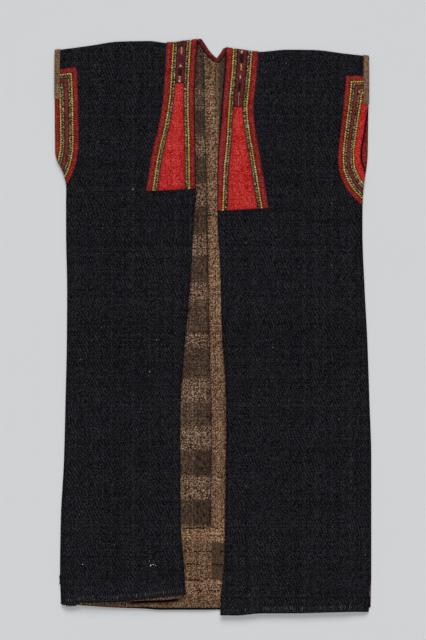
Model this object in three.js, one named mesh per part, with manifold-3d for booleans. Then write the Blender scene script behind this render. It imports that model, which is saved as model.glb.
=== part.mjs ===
// A sleeveless long robe of dark homespun cloth, open down the front, lined in brown and laid flat on its
// back. Red wool bands edged with braid run down both front edges from the shoulders and round both armholes.
//
// Frame: millimetres, +Z up from the table that the robe lies on, +Y towards the neck, X across the robe.
// "left" and "right" are as seen from above, with the neck at the top. The origin is under the robe's middle.
//
// Every piece of cloth is a wall. The back and its lining are flat cut shapes. Each front is a surface worked
// out from its edges, its height over the back and its folds, and it rolls over at the shoulder to meet the
// back. What is sewn on a front is made from points of the same surface, moved out.

import * as THREE from "three";
import { mergeVertices } from "three/addons/utils/BufferGeometryUtils.js";
import Module from "manifold-3d";

const wasm = await Module();
wasm.setup();

// Thickness of each cloth, and the gap that is left wherever two pieces meet.
const DARK_CLOTH = 1.5;
const LINING_CLOTH = 1.0;
const WOOL_BAND = 1.1;
const BRAID = 1.6;
const SEAM_GAP = 0.3;

// Heights above the table at which the layers lie.
const BACK_LINING_Z = DARK_CLOTH + SEAM_GAP;
const FACING_Z = BACK_LINING_Z + LINING_CLOTH + SEAM_GAP;
const FACING_STEP = LINING_CLOTH + SEAM_GAP;
const FRONT_TOP_Z = FACING_Z + LINING_CLOTH + SEAM_GAP + DARK_CLOTH;
const SIDE_SEAM_TOP_Z = DARK_CLOTH + SEAM_GAP + DARK_CLOTH;

// The shoulder is a fold: half a turn of this radius, from the front's top down to the table.
const ROLL_RADIUS = FRONT_TOP_Z / 2;
const ROLL_ANGLES = [30, 60, 90, 135, 180];
const BAND_ROLL_ANGLES = [30, 60, 90];

// How far a front goes on flat behind the fold, to the seam where it is sewn to the back.
const SHOULDER_SEAM = 3;

// Widths of what is sewn on.
const COLLAR_EDGE_WIDTH = 11;
const BRAID_WIDTH = 9.5;
const ARMHOLE_BINDING_WIDTH = 12;
const NECK_BINDING_WIDTH = 7;
const ARMHOLE_FACING_WIDTH = 10.5;
const FACING_FOOT_RISE = 30;
const EDGE_MARGIN = 0.4;
const BINDING_WALL = 0.9;

// The width over which a front curls down to its side seam, and how far from each edge its loft begins and
// is full.
const SIDE_SEAM_WIDTH = 8;
const SEWN_SIDE_EASE = { begins: 12, full: 60 };
const OPEN_SIDE_EASE = { begins: 75, full: 120 };
const SHOULDER_EASE = { begins: 12, full: 60 };
const UNDERARM_EASE = { below: 12, above: 24 };
const FACING_EASE = { begins: 8, full: 45 };

// How far linings stop short of the edges.
const LINING_SIDE_INSET = 12;
const FACING_SIDE_INSET = 13;
const LINING_HEM_INSET = 2;
const LINING_EDGE_INSET = 2;
const LINING_TOP_INSET = 5;
const HEM_LEVEL = 6;
const FACING_TOP_Y = -380;

// The side edges at each height, from the shoulders over the armholes to the hem.
const SIDES = [
  { y: 560, left: -299.5, right: 295.5 },
  { y: 478, left: -300.3, right: 295.5 },
  { y: 330, left: -299, right: 294 },
  { y: 314, left: -293, right: 293 },
  { y: 294, left: -284, right: 290.5 },
  { y: 267, left: -278.5, right: 286 },
  { y: 232, left: -279, right: 284 },
  { y: 184, left: -279, right: 283.7 },
  { y: 70, left: -277, right: 288 },
  { y: -25, left: -277.5, right: 293 },
  { y: -139, left: -280, right: 297 },
  { y: -253, left: -283, right: 300.5 },
  { y: -367, left: -289, right: 300.5 },
  { y: -472, left: -290.5, right: 300.5 },
  { y: -550, left: -287, right: 299 },
];

// How far the right front's armhole edge bows inwards from the side edge, baring the back's red facing.
const RIGHT_ARMHOLE_BOW = [
  { y: 415, inwards: 0 },
  { y: 364, inwards: 6.5 },
  { y: 324, inwards: 12.5 },
  { y: 305, inwards: 9 },
  { y: 285, inwards: 0 },
];

// The short slits at the foot of the side seams, where each front stands back from the back's edge.
const SLITS = [
  { y: -480, left: 0, right: 0 },
  { y: -500, left: 1.5, right: 1.5 },
  { y: -550, left: 1, right: 4 },
];

// The edges of the front opening at each height.
const OPENING = [
  { y: 560, left: -28, right: 24.5 },
  { y: 507, left: -32, right: 22.5 },
  { y: 431, left: -35, right: 15.5 },
  { y: 330, left: -33, right: 9.5 },
  { y: 255, left: -32.5, right: 8.3 },
  { y: 215, left: -35.5, right: 8.5 },
  { y: 113, left: -41, right: 13.5 },
  { y: -12, left: -51.5, right: 17 },
  { y: -101, left: -59, right: 23 },
  { y: -165, left: -62, right: 25 },
  { y: -365, left: -61.5, right: 23 },
  { y: -445, left: -55.5, right: 21 },
  { y: -505, left: -52, right: 15.5 },
  { y: -550, left: -51, right: 13.5 },
];

// The outer edges of the two red collar panels, which widen towards their feet.
const COLLAR_OUTER = [
  { y: 560, left: -86.5, right: 85 },
  { y: 435, left: -94.5, right: 78.5 },
  { y: 372, left: -105, right: 81.5 },
  { y: 292, left: -120.5, right: 94.5 },
  { y: 215, left: -134, right: 107 },
];

// The width of each red collar edging along the opening.
const COLLAR_INNER_EDGE = [
  { y: 510, left: 11, right: 11 },
  { y: 215, left: 10.5, right: 7.8 },
];

// The shoulder fold, and the hems of the fronts and of the back, across the robe.
const SHOULDER = [
  { x: -305, y: 524 },
  { x: -234, y: 533.5 },
  { x: -177, y: 541.5 },
  { x: -120, y: 543.5 },
  { x: -85, y: 540.5 },
  { x: -27, y: 547.5 },
];
const RIGHT_SHOULDER = [
  { x: 24, y: 531 },
  { x: 62, y: 525.5 },
  { x: 84, y: 523.5 },
  { x: 142, y: 526.5 },
  { x: 190, y: 525.5 },
  { x: 251, y: 518.5 },
  { x: 305, y: 512.5 },
];
const LEFT_HEM = [
  { x: -290, y: -527.5 },
  { x: -195, y: -520.5 },
  { x: -103, y: -512.5 },
  { x: -50, y: -507 },
];
const RIGHT_HEM = [
  { x: 13, y: -547 },
  { x: 44, y: -548.5 },
  { x: 92, y: -545 },
  { x: 150, y: -545 },
  { x: 271, y: -541.5 },
  { x: 300, y: -542.5 },
];
const BACK_HEM = [
  { x: -290, y: -529 },
  { x: -195, y: -533.5 },
  { x: -20, y: -535.5 },
  { x: 300, y: -533 },
];

// The seam down the middle of the back's lining, and the V of the back neck.
const LINING_SEAM = [
  { y: 560, x: -19 },
  { y: 250, x: -12.5 },
  { y: -25, x: -7 },
  { y: -200, x: -3 },
  { y: -340, x: -4 },
  { y: -540, x: -4.5 },
];
const NECK = { left: [-19.5, 545], foot: [7, 509.5], right: [21, 529] };
const NECK_LEDGE = 8;

// The folds of each front: soft ridges (rise above 0) and troughs along a line, of a half-width.
const REST_LOFT = 2.4;
const LEFT_FOLDS = [
  { x0: -168, y0: 510, x1: -224, y1: 458, width: 15, rise: -1.9 },
  { x0: -138, y0: 478, x1: -104, y1: 498, width: 13, rise: -1.6 },
  { x0: -150, y0: 392, x1: -128, y1: 446, width: 16, rise: 1.8 },
  { x0: -228, y0: 420, x1: -238, y1: 350, width: 13, rise: -1.5 },
  { x0: -106, y0: 190, x1: -190, y1: 72, width: 17, rise: -2.3 },
  { x0: -140, y0: 222, x1: -232, y1: 92, width: 20, rise: 2.6 },
  { x0: -198, y0: 52, x1: -234, y1: -34, width: 15, rise: -2.0 },
  { x0: -178, y0: -86, x1: -216, y1: -184, width: 18, rise: -2.1 },
  { x0: -140, y0: -70, x1: -176, y1: -190, width: 22, rise: 2.2 },
  { x0: -130, y0: -300, x1: -196, y1: -330, width: 26, rise: 1.6 },
  { x0: -262, y0: -458, x1: -236, y1: -482, width: 13, rise: -1.8 },
  { x0: -228, y0: -488, x1: -96, y1: -482, width: 11, rise: -2.2 },
  { x0: -138, y0: -512, x1: -80, y1: -506, width: 24, rise: 5.5 },
  { x0: -262, y0: -520, x1: -180, y1: -516, width: 14, rise: 1.6 },
];
const RIGHT_FOLDS = [
  { x0: 156, y0: 500, x1: 108, y1: 458, width: 14, rise: -2.0 },
  { x0: 186, y0: 470, x1: 140, y1: 420, width: 20, rise: 1.8 },
  { x0: 126, y0: 266, x1: 262, y1: 226, width: 14, rise: -2.0 },
  { x0: 150, y0: 306, x1: 226, y1: 262, width: 17, rise: 1.9 },
  { x0: 170, y0: 226, x1: 264, y1: 196, width: 16, rise: 2.2 },
  { x0: 136, y0: 166, x1: 232, y1: 70, width: 16, rise: -1.9 },
  { x0: 96, y0: 120, x1: 170, y1: 20, width: 20, rise: 1.7 },
  { x0: 222, y0: -130, x1: 202, y1: -245, width: 22, rise: -1.8 },
  { x0: 170, y0: -110, x1: 150, y1: -260, width: 26, rise: 1.8 },
  { x0: 60, y0: -120, x1: 48, y1: -215, width: 20, rise: -1.4 },
  { x0: 226, y0: -470, x1: 200, y1: -420, width: 20, rise: 1.6 },
  { x0: 100, y0: -530, x1: 268, y1: -512, width: 11, rise: -2.2 },
  { x0: 120, y0: -505, x1: 250, y1: -490, width: 14, rise: 1.6 },
];

// The outer line of the nested armhole bands on each front, from the corner at the top down to the underarm,
// and the nested bands' widths, from that line towards the armhole.
const LEFT_BAND_LINE = [
  { x: -258, y: 494 },
  { x: -255.5, y: 429 },
  { x: -254.5, y: 352 },
  { x: -257, y: 322 },
  { x: -265, y: 292 },
  { x: -281, y: 262 },
];
const RIGHT_BAND_LINE = [
  { x: 252.5, y: 476 },
  { x: 247, y: 423 },
  { x: 241, y: 370 },
  { x: 237.5, y: 331 },
  { x: 238.5, y: 298 },
  { x: 247, y: 275 },
  { x: 262, y: 254 },
  { x: 288, y: 229 },
];
const ARMHOLE_BANDS = [
  { name: "edge", width: 10, thick: WOOL_BAND, colour: "crimson" },
  { name: "braid_outer", width: 10, thick: BRAID, colour: "braid" },
  { name: "middle", width: 6.5, thick: WOOL_BAND, colour: "crimson" },
  { name: "braid_inner", width: 10, thick: BRAID, colour: "braid" },
  { name: "lip", width: 34, thick: WOOL_BAND, colour: "scarlet" },
];

// How finely curves are divided, and how far a cutting shape reaches past what it cuts.
const BODY_COLUMNS = 6;
const SKIRT_LEVELS = 20;
const COLLAR_LEVELS = 5;
const TAPE_LEVELS = 3;
const BAND_SAMPLES = 12;
const EDGE_STEP = 20;
const SETTLING_TURNS = 4;
const BAND_REACH = 150;
const CUT_MARGIN = 1;

// The two fronts. "inward" is the direction from the side edge towards the opening.
const LEFT = {
  name: "left",
  inward: 1,
  shoulder: SHOULDER,
  hem: LEFT_HEM,
  folds: LEFT_FOLDS,
  underarmY: 264,
  collarFoot: { outer: 260, inner: 263 },
  tapeFootY: 462,
  bindingFootY: 431,
  bandLine: LEFT_BAND_LINE,
  bandTopRise: -10,
  liningShows: 3,
};
const RIGHT = {
  name: "right",
  inward: -1,
  shoulder: RIGHT_SHOULDER,
  hem: RIGHT_HEM,
  folds: RIGHT_FOLDS,
  underarmY: 232,
  collarFoot: { outer: 225, inner: 218.5 },
  tapeFootY: 417,
  bindingFootY: 421,
  bandLine: RIGHT_BAND_LINE,
  bandTopRise: 0,
  liningShows: -5,
};

const COLOURS = {
  darkCloth: { color: 0x1b1d22, roughness: 0.95 },
  lining: { color: 0x7d6450, roughness: 0.95 },
  darkLining: { color: 0x5f4b3e, roughness: 0.95 },
  crimson: { color: 0x8f1f2a, roughness: 0.9 },
  scarlet: { color: 0xc4222a, roughness: 0.9 },
  braid: { color: 0x8a7a3a, roughness: 0.85 },
};

function material(colour) {
  return new THREE.MeshStandardMaterial({ ...COLOURS[colour], metalness: 0 });
}

const mix = (a, b, share) => a + (b - a) * share;

function smoothstep(from, to, at) {
  const share = Math.min(1, Math.max(0, (at - from) / (to - from)));
  return share * share * (3 - 2 * share);
}

// The smooth curve through a table's rows that never overshoots them: value as a function of key.
function curve(table, key, value) {
  const rows = [...table].sort((a, b) => a[key] - b[key]);
  const slopes = rows.slice(1).map((row, i) => (row[value] - rows[i][value]) / (row[key] - rows[i][key]));
  const tangents = rows.map((_, i) => {
    const before = slopes[Math.max(0, i - 1)];
    const after = slopes[Math.min(slopes.length - 1, i)];
    return before * after <= 0 ? 0 : (2 * before * after) / (before + after);
  });
  return (at) => {
    const above = rows.findIndex((row) => row[key] > at);
    const i = above < 0 ? slopes.length - 1 : Math.max(0, above - 1);
    const span = rows[i + 1][key] - rows[i][key];
    const t = Math.min(1, Math.max(0, (at - rows[i][key]) / span));
    const square = t * t;
    const cube = square * t;
    return (
      rows[i][value] * (2 * cube - 3 * square + 1) +
      rows[i + 1][value] * (3 * square - 2 * cube) +
      tangents[i] * span * (cube - 2 * square + t) +
      tangents[i + 1] * span * (cube - square)
    );
  };
}

const rightBow = curve(RIGHT_ARMHOLE_BOW, "y", "inwards");
const backHem = curve(BACK_HEM, "x", "y");
const liningSeam = curve(LINING_SEAM, "y", "x");

// Adds to a front the curves of its edges, and its columns: functions that give x at each y.
function withEdges(front) {
  const side = curve(SIDES, "y", front.name);
  const slit = curve(SLITS, "y", front.name);
  const opening = curve(OPENING, "y", front.name);
  const collar = curve(COLLAR_OUTER, "y", front.name);
  const bow = front === RIGHT ? rightBow : () => 0;
  const frontSide = (y) => side(y) + front.inward * (bow(y) + slit(y));
  // Below its foot the collar's outer line goes on down at the same share of the front's width.
  const footShare =
    (collar(front.collarFoot.outer) - side(front.collarFoot.outer)) /
    (opening(front.collarFoot.outer) - side(front.collarFoot.outer));
  const collarLine = (y) =>
    y >= front.collarFoot.outer ? collar(y) : mix(side(y), opening(y), footShare);
  return {
    ...front,
    side,
    frontSide,
    collarLine,
    opening,
    innerEdge: curve(COLLAR_INNER_EDGE, "y", front.name),
    shoulder: curve(front.shoulder, "x", "y"),
    hemLine: curve(front.hem, "x", "y"),
    fromSide: (distance) => (y) => frontSide(y) + front.inward * distance,
    fromCollar: (distance) => (y) => collarLine(y) + front.inward * distance,
    fromOpening: (distance) => (y) => opening(y) - front.inward * distance,
    collarMiddle: (y) => mix(collarLine(y), opening(y), 0.5),
  };
}

// How far a point lies from the straight line between a fold's two ends.
function distanceToFold(fold, x, y) {
  const dx = fold.x1 - fold.x0;
  const dy = fold.y1 - fold.y0;
  const along = ((x - fold.x0) * dx + (y - fold.y0) * dy) / (dx * dx + dy * dy);
  const share = Math.min(1, Math.max(0, along));
  return Math.hypot(x - fold.x0 - share * dx, y - fold.y0 - share * dy);
}

// Height of a front's outer face above the table: the layers under it, its loft with the folds, and the side
// seam.
function frontHeight(front, x, y) {
  const fromSide = Math.abs(x - front.frontSide(y));
  const [seamTop, seamGone] = [front.underarmY - UNDERARM_EASE.below, front.underarmY + UNDERARM_EASE.above];
  const sewn = 1 - smoothstep(seamTop, seamGone, y);
  const offFacing = smoothstep(FACING_TOP_Y + FACING_EASE.begins, FACING_TOP_Y + FACING_EASE.full, y);
  const lying = FRONT_TOP_Z + FACING_STEP * (1 - offFacing);
  const begins = mix(OPEN_SIDE_EASE.begins, SEWN_SIDE_EASE.begins, sewn);
  const full = mix(OPEN_SIDE_EASE.full, SEWN_SIDE_EASE.full, sewn);
  const clearOfSide = smoothstep(begins, full, fromSide);
  const clearOfShoulder = smoothstep(SHOULDER_EASE.begins, SHOULDER_EASE.full, front.shoulder(x) - y);
  const folds = front.folds.reduce(
    (sum, fold) => sum + fold.rise * Math.exp(-((distanceToFold(fold, x, y) / fold.width) ** 2)),
    REST_LOFT
  );
  const loft = Math.max(0, folds) * clearOfSide * clearOfShoulder;
  const seamDrop = sewn * (lying - SIDE_SEAM_TOP_Z) * (1 - smoothstep(0, SIDE_SEAM_WIDTH, fromSide));
  return lying + loft - seamDrop;
}

// A point of a front's outer face on a column (x as a function of y) at a level: a line y(x), or an angle of
// the shoulder's roll. The level's line depends on x and the column on y, so a few turns settle both.
function frontPoint(front, column, level) {
  const rolled = level.roll !== undefined;
  const line = rolled ? (x) => front.shoulder(x) - ROLL_RADIUS : level.line;
  let y = line(column(0));
  for (let turn = 0; turn < SETTLING_TURNS; turn++) y = line(column(y));
  const x = column(y);
  if (!rolled) return new THREE.Vector3(x, y, frontHeight(front, x, y));
  const angle = THREE.MathUtils.degToRad(level.roll);
  const out = ROLL_RADIUS * Math.sin(angle) - (level.tail ?? 0);
  return new THREE.Vector3(x, y + out, ROLL_RADIUS * (1 + Math.cos(angle)));
}

// Outward normals of a grid of points, by the cross product of the steps to each point's neighbours.
function gridNormals(grid, inward) {
  const last = (list) => list.length - 1;
  return grid.map((row, r) =>
    row.map((_, c) => {
      const across = new THREE.Vector3().subVectors(row[Math.min(c + 1, last(row))], row[Math.max(c - 1, 0)]);
      const above = grid[Math.min(r + 1, last(grid))][c];
      const along = new THREE.Vector3().subVectors(above, grid[Math.max(r - 1, 0)][c]);
      return across.cross(along).multiplyScalar(inward).normalize();
    })
  );
}

// The closed wall between two grids of points with the same rows and columns, with its faces pointing out.
function wallBetween(upper, lower) {
  const rows = upper.length;
  const columns = upper[0].length;
  const points = [...upper.flat(), ...lower.flat()];
  const top = (r, c) => r * columns + c;
  const under = (r, c) => rows * columns + top(r, c);
  const faces = [];
  const quad = (a, b, c, d) => faces.push(a, b, c, a, c, d);
  for (let r = 0; r < rows - 1; r++) {
    for (let c = 0; c < columns - 1; c++) {
      quad(top(r, c), top(r, c + 1), top(r + 1, c + 1), top(r + 1, c));
      quad(under(r, c), under(r + 1, c), under(r + 1, c + 1), under(r, c + 1));
    }
    const end = columns - 1;
    quad(top(r, 0), top(r + 1, 0), under(r + 1, 0), under(r, 0));
    quad(top(r, end), under(r, end), under(r + 1, end), top(r + 1, end));
  }
  for (let c = 0; c < columns - 1; c++) {
    const end = rows - 1;
    quad(top(0, c), under(0, c), under(0, c + 1), top(0, c + 1));
    quad(top(end, c), top(end, c + 1), under(end, c + 1), under(end, c));
  }
  const geometry = new THREE.BufferGeometry().setFromPoints(points);
  geometry.setIndex(facingOut(points, faces));
  return geometry;
}

// The faces as they are, or turned round if the volume that they enclose comes out negative.
function facingOut(points, faces) {
  let volume = 0;
  for (let i = 0; i < faces.length; i += 3) {
    const [a, b, c] = [points[faces[i]], points[faces[i + 1]], points[faces[i + 2]]];
    volume += a.dot(new THREE.Vector3().crossVectors(b, c));
  }
  return volume > 0 ? faces : faces.reverse();
}

// The columns of a front, side edge first. Those across the collar lie on the seams between its bands.
const FIRST_BODY_COLUMN = 18;
const FIRST_LINED_COLUMN = 2;
function frontColumns(front) {
  const nearSide = [0, 3, SIDE_SEAM_WIDTH, FIRST_BODY_COLUMN].map(front.fromSide);
  const body = Array.from({ length: BODY_COLUMNS }, (_, i) => {
    const share = (i + 1) / (BODY_COLUMNS + 1);
    return (y) => mix(front.fromSide(FIRST_BODY_COLUMN)(y), front.collarLine(y), share);
  });
  const collar = [0, COLLAR_EDGE_WIDTH, COLLAR_EDGE_WIDTH + BRAID_WIDTH].map(front.fromCollar);
  const seams = [BRAID_WIDTH, 0].map((beyond) => innerSeam(front, beyond));
  const edge = [LINING_EDGE_INSET, 0].map(front.fromOpening);
  return [...nearSide, ...body, ...collar, front.collarMiddle, ...seams, ...edge];
}

// The column that lies a distance beyond the collar's inner edging, counted from the opening.
const innerSeam = (front, beyond) => (y) => front.opening(y) - front.inward * (front.innerEdge(y) + beyond);

// The levels of a front from hem to shoulder, with a level at the collar's foot and at the tape's foot.
function frontLevels(front) {
  const { outer, inner } = front.collarFoot;
  const collarFoot = (x) => {
    const across = (x - front.collarLine(outer)) / (front.opening(inner) - front.collarLine(outer));
    return mix(outer, inner, across);
  };
  const start = (x) => front.shoulder(x) - ROLL_RADIUS;
  const between = (from, to, count) =>
    Array.from({ length: count }, (_, i) => ({ line: (x) => mix(from(x), to(x), i / count) }));
  const aboveHem = (x) => front.hemLine(x) + HEM_LEVEL;
  const skirt = [{ line: front.hemLine }, ...between(aboveHem, collarFoot, SKIRT_LEVELS)];
  const collar = between(collarFoot, () => front.tapeFootY, COLLAR_LEVELS);
  const yoke = between(() => front.tapeFootY, start, TAPE_LEVELS);
  const belowRoll = { line: (x) => start(x) - LINING_TOP_INSET };
  return { skirt, collar, yoke, belowRoll, rollStart: { line: start } };
}

// Part of a front's outer face, as a grid: every level's points on every column.
function faceGrid(front, columns, levels) {
  return levels.map((level) => columns.map((column) => frontPoint(front, column, level)));
}

// A wall made from a grid's points: from "gap" outside the grid to "gap + thick" outside it.
function wallOnGrid(grid, inward, gap, thick) {
  const normals = gridNormals(grid, inward);
  const moved = (distance) =>
    grid.map((row, r) => row.map((point, c) => point.clone().addScaledVector(normals[r][c], distance)));
  return wallBetween(moved(gap + thick), moved(gap));
}

// A flat cut shape, extruded upwards from a height.
function cutShape(points, z, thick) {
  const shape = new THREE.Shape(points.map(([x, y]) => new THREE.Vector2(x, y)));
  return new THREE.ExtrudeGeometry(shape, { depth: thick, bevelEnabled: false }).translate(0, 0, z);
}

function toSolid(geometry) {
  const bare = geometry.clone();
  bare.deleteAttribute("normal");
  bare.deleteAttribute("uv");
  const merged = mergeVertices(bare, 1e-4);
  const triVerts = new Uint32Array(merged.index.array);
  return new wasm.Manifold(
    new wasm.Mesh({ numProp: 3, vertProperties: merged.attributes.position.array, triVerts })
  );
}

function toGeometry(solid) {
  const mesh = solid.getMesh();
  const geometry = new THREE.BufferGeometry();
  geometry.setAttribute("position", new THREE.BufferAttribute(new Float32Array(mesh.vertProperties), 3));
  geometry.setIndex(new THREE.BufferAttribute(new Uint32Array(mesh.triVerts), 1));
  return geometry;
}

const robe = new THREE.Group();
robe.name = "long_robe";

function add(name, geometry, colour) {
  const mesh = new THREE.Mesh(geometry, material(colour));
  mesh.name = name;
  robe.add(mesh);
}

// Values from low to high. Those in between are whole steps, so that neighbouring pieces share their corners.
function rungs(low, high, step) {
  const first = Math.floor(low / step) + 1;
  const count = Math.max(0, Math.ceil(high / step) - first);
  const between = Array.from({ length: count }, (_, i) => (first + i) * step);
  return [low, ...between.filter((value) => value - low > 1 && high - value > 1), high];
}

// A line moved sideways by a distance to its left, with mitred corners. Each point has [x, y].
function offsetLine(line, distance) {
  return line.map((point, i) => {
    const before = line[Math.max(i - 1, 0)];
    const after = line[Math.min(i + 1, line.length - 1)];
    const unit = (a, b) => new THREE.Vector2(b[0] - a[0], b[1] - a[1]).normalize();
    const arriving = i > 0 ? unit(before, point) : unit(point, after);
    const leaving = i < line.length - 1 ? unit(point, after) : arriving;
    const bisector = arriving.clone().add(leaving).normalize();
    const reach = distance / Math.max(0.3, bisector.dot(arriving));
    return [point[0] - bisector.y * reach, point[1] + bisector.x * reach];
  });
}

// The back

const left = withEdges(LEFT);
const right = withEdges(RIGHT);

const NECK_LINE = [NECK.left, NECK.foot, NECK.right];

// The outline of a flat piece on the back: down the left side, along the hem and up the right side, then over
// the shoulders and round the neck. Each inset is how far it stops short of that edge.
function backOutline({ side, hem, top, neck }) {
  const hemY = (x) => backHem(x) + hem;
  const topY = (front) => (x) => front.shoulder(x) - ROLL_RADIUS - SHOULDER_SEAM - SEAM_GAP - top;
  const onSide = (front) => (y) => [front.side(y) + front.inward * side, y];
  const corner = (front, line) => {
    let y = 0;
    for (let turn = 0; turn <= SETTLING_TURNS; turn++) y = line(onSide(front)(y)[0]);
    return onSide(front)(y);
  };
  const [leftTop, leftFoot] = [corner(left, topY(left)), corner(left, hemY)];
  const [rightTop, rightFoot] = [corner(right, topY(right)), corner(right, hemY)];
  const between = (low, high, step) => rungs(low, high, step).slice(1, -1);
  // Over the shoulders the corners are those of the fronts' columns, which meet the back there.
  const overShoulder = (front) =>
    frontColumns(front).map((column) => {
      const { x } = frontPoint(front, column, { roll: 180, tail: SHOULDER_SEAM + SEAM_GAP });
      return [x, topY(front)(x)];
    });
  const neckLine = offsetLine(NECK_LINE, -neck);
  const neckRight = [neckLine[2][0], topY(right)(NECK.right[0])];
  const neckLeft = [NECK.left[0] - NECK_LEDGE, topY(left)(NECK.left[0] - NECK_LEDGE)];
  return {
    leftSide: [leftTop, ...between(leftFoot[1], leftTop[1], EDGE_STEP).reverse().map(onSide(left)), leftFoot],
    hem: between(leftFoot[0], rightFoot[0], 2 * EDGE_STEP).map((x) => [x, hemY(x)]),
    rightSide: [rightFoot, ...between(rightFoot[1], rightTop[1], EDGE_STEP).map(onSide(right)), rightTop],
    rightTop: overShoulder(right).filter(([x]) => x > neckRight[0] + 1 && x < rightTop[0] - 1),
    neck: [neckRight, neckLine[1], neckLine[0], neckLeft],
    leftTop: overShoulder(left).filter(([x]) => x < neckLeft[0] - 1 && x > leftTop[0] + 1).reverse(),
  };
}

// The middle seam cuts a lining's outline into its left and right halves.
function halfOutlines(outline) {
  const hemY = backHem(0) + LINING_HEM_INSET;
  const [neckRight, neckFoot, neckTurn, neckLeft] = outline.neck;
  const across = (liningSeam(neckTurn[1]) - neckFoot[0]) / (neckTurn[0] - neckFoot[0]);
  const seamTop = mix(neckFoot[1], neckTurn[1], across);
  const seam = (shift) => rungs(hemY, seamTop, 4 * EDGE_STEP).map((y) => [liningSeam(y) + shift, y]);
  const besideSeam = ([x]) => x - liningSeam(hemY);
  const half = SEAM_GAP / 2;
  return {
    left: [
      ...outline.leftSide,
      ...outline.hem.filter((point) => besideSeam(point) < -1),
      ...seam(-half),
      neckTurn,
      neckLeft,
      ...outline.leftTop,
    ],
    right: [
      ...seam(half).reverse(),
      ...outline.hem.filter((point) => besideSeam(point) > 1),
      ...outline.rightSide,
      ...outline.rightTop,
      neckRight,
      neckFoot,
    ],
  };
}

const ring = (outline) => [
  ...outline.leftSide,
  ...outline.hem,
  ...outline.rightSide,
  ...outline.rightTop,
  ...outline.neck,
  ...outline.leftTop,
];

function addBack() {
  const neck = BINDING_WALL + SEAM_GAP;
  const panel = ring(backOutline({ side: 0, hem: 0, top: 0, neck }));
  add("back_panel", cutShape(panel, 0, DARK_CLOTH), "darkCloth");
  const lined = { side: LINING_SIDE_INSET, hem: LINING_HEM_INSET, top: LINING_TOP_INSET, neck };
  const halves = halfOutlines(backOutline(lined));
  add("back_lining_left", cutShape(halves.left, BACK_LINING_Z, LINING_CLOTH), "darkLining");
  add("back_lining_right", cutShape(halves.right, BACK_LINING_Z, LINING_CLOTH), "lining");
}

// The turned-up band of lining cloth along the foot of the back's inside.
function addHemFacing() {
  const foot = backOutline({ side: FACING_SIDE_INSET, hem: LINING_HEM_INSET, top: 0, neck: 0 });
  const below = ([, y]) => y < FACING_TOP_Y - 1;
  const topLeft = [left.side(FACING_TOP_Y) + FACING_SIDE_INSET, FACING_TOP_Y];
  const topRight = [right.side(FACING_TOP_Y) - FACING_SIDE_INSET, FACING_TOP_Y];
  const sides = { left: foot.leftSide.filter(below), right: foot.rightSide.filter(below) };
  const points = [topLeft, ...sides.left, ...foot.hem, ...sides.right, topRight];
  add("back_hem_facing", cutShape(points, FACING_Z, LINING_CLOTH), "lining");
}

// The red edging of the back neck: a flap on the lining, and a wall down the outside of the back's edge.
function addNeckBinding() {
  const band = (width) => [...NECK_LINE, ...offsetLine(NECK_LINE, -width).reverse()];
  const flap = toSolid(cutShape(band(NECK_BINDING_WIDTH), FACING_Z, LINING_CLOTH));
  const wall = toSolid(cutShape(band(BINDING_WALL), 0, FACING_Z + LINING_CLOTH));
  // It stops short of both fronts' opening edges, where the fold of the shoulder begins.
  const [from, to] = [left.opening(NECK.left[1]) + BINDING_WALL, right.opening(NECK.right[1]) - BINDING_WALL];
  const [low, high] = [NECK.foot[1] - 2 * NECK_BINDING_WIDTH, NECK.left[1] + NECK_BINDING_WIDTH];
  const between = [[from, low], [to, low], [to, high], [from, high]];
  const clear = toSolid(cutShape(between, -CUT_MARGIN, FACING_Z + LINING_CLOTH + 2 * CUT_MARGIN));
  add("neck_binding", toGeometry(flap.add(wall).intersect(clear)), "crimson");
}

// The red facing on the inside of the back's armhole edge.
function addArmholeFacing(front) {
  const ys = rungs(front.underarmY + FACING_FOOT_RISE, front.bindingFootY, EDGE_STEP);
  const outer = ys.map((y) => [front.side(y) + front.inward * EDGE_MARGIN, y]);
  const inner = ys.map((y) => [front.side(y) + front.inward * ARMHOLE_FACING_WIDTH, y]).reverse();
  add("armhole_facing_" + front.name, cutShape([...outer, ...inner], BACK_LINING_Z, LINING_CLOTH), "scarlet");
}

// The fronts

function addFront(front) {
  const columns = frontColumns(front);
  const levels = frontLevels(front);
  const rolled = [...ROLL_ANGLES.map((roll) => ({ roll })), { roll: 180, tail: SHOULDER_SEAM }];
  const upright = [...levels.skirt, ...levels.collar, ...levels.yoke, levels.belowRoll];
  const face = faceGrid(front, columns, [...upright, levels.rollStart, ...rolled]);
  add("front_" + front.name, wallOnGrid(face, front.inward, -DARK_CLOTH, DARK_CLOTH), "darkCloth");
  // The lining is the same grid less its edge columns and levels, moved in by the cloth and a gap.
  const hem = { line: (x) => front.hemLine(x) - front.liningShows };
  const lined = faceGrid(front, columns.slice(FIRST_LINED_COLUMN, -1), [hem, ...upright.slice(1)]);
  const depth = -DARK_CLOTH - SEAM_GAP - LINING_CLOTH;
  add("front_lining_" + front.name, wallOnGrid(lined, front.inward, depth, LINING_CLOTH), "lining");
}

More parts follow.
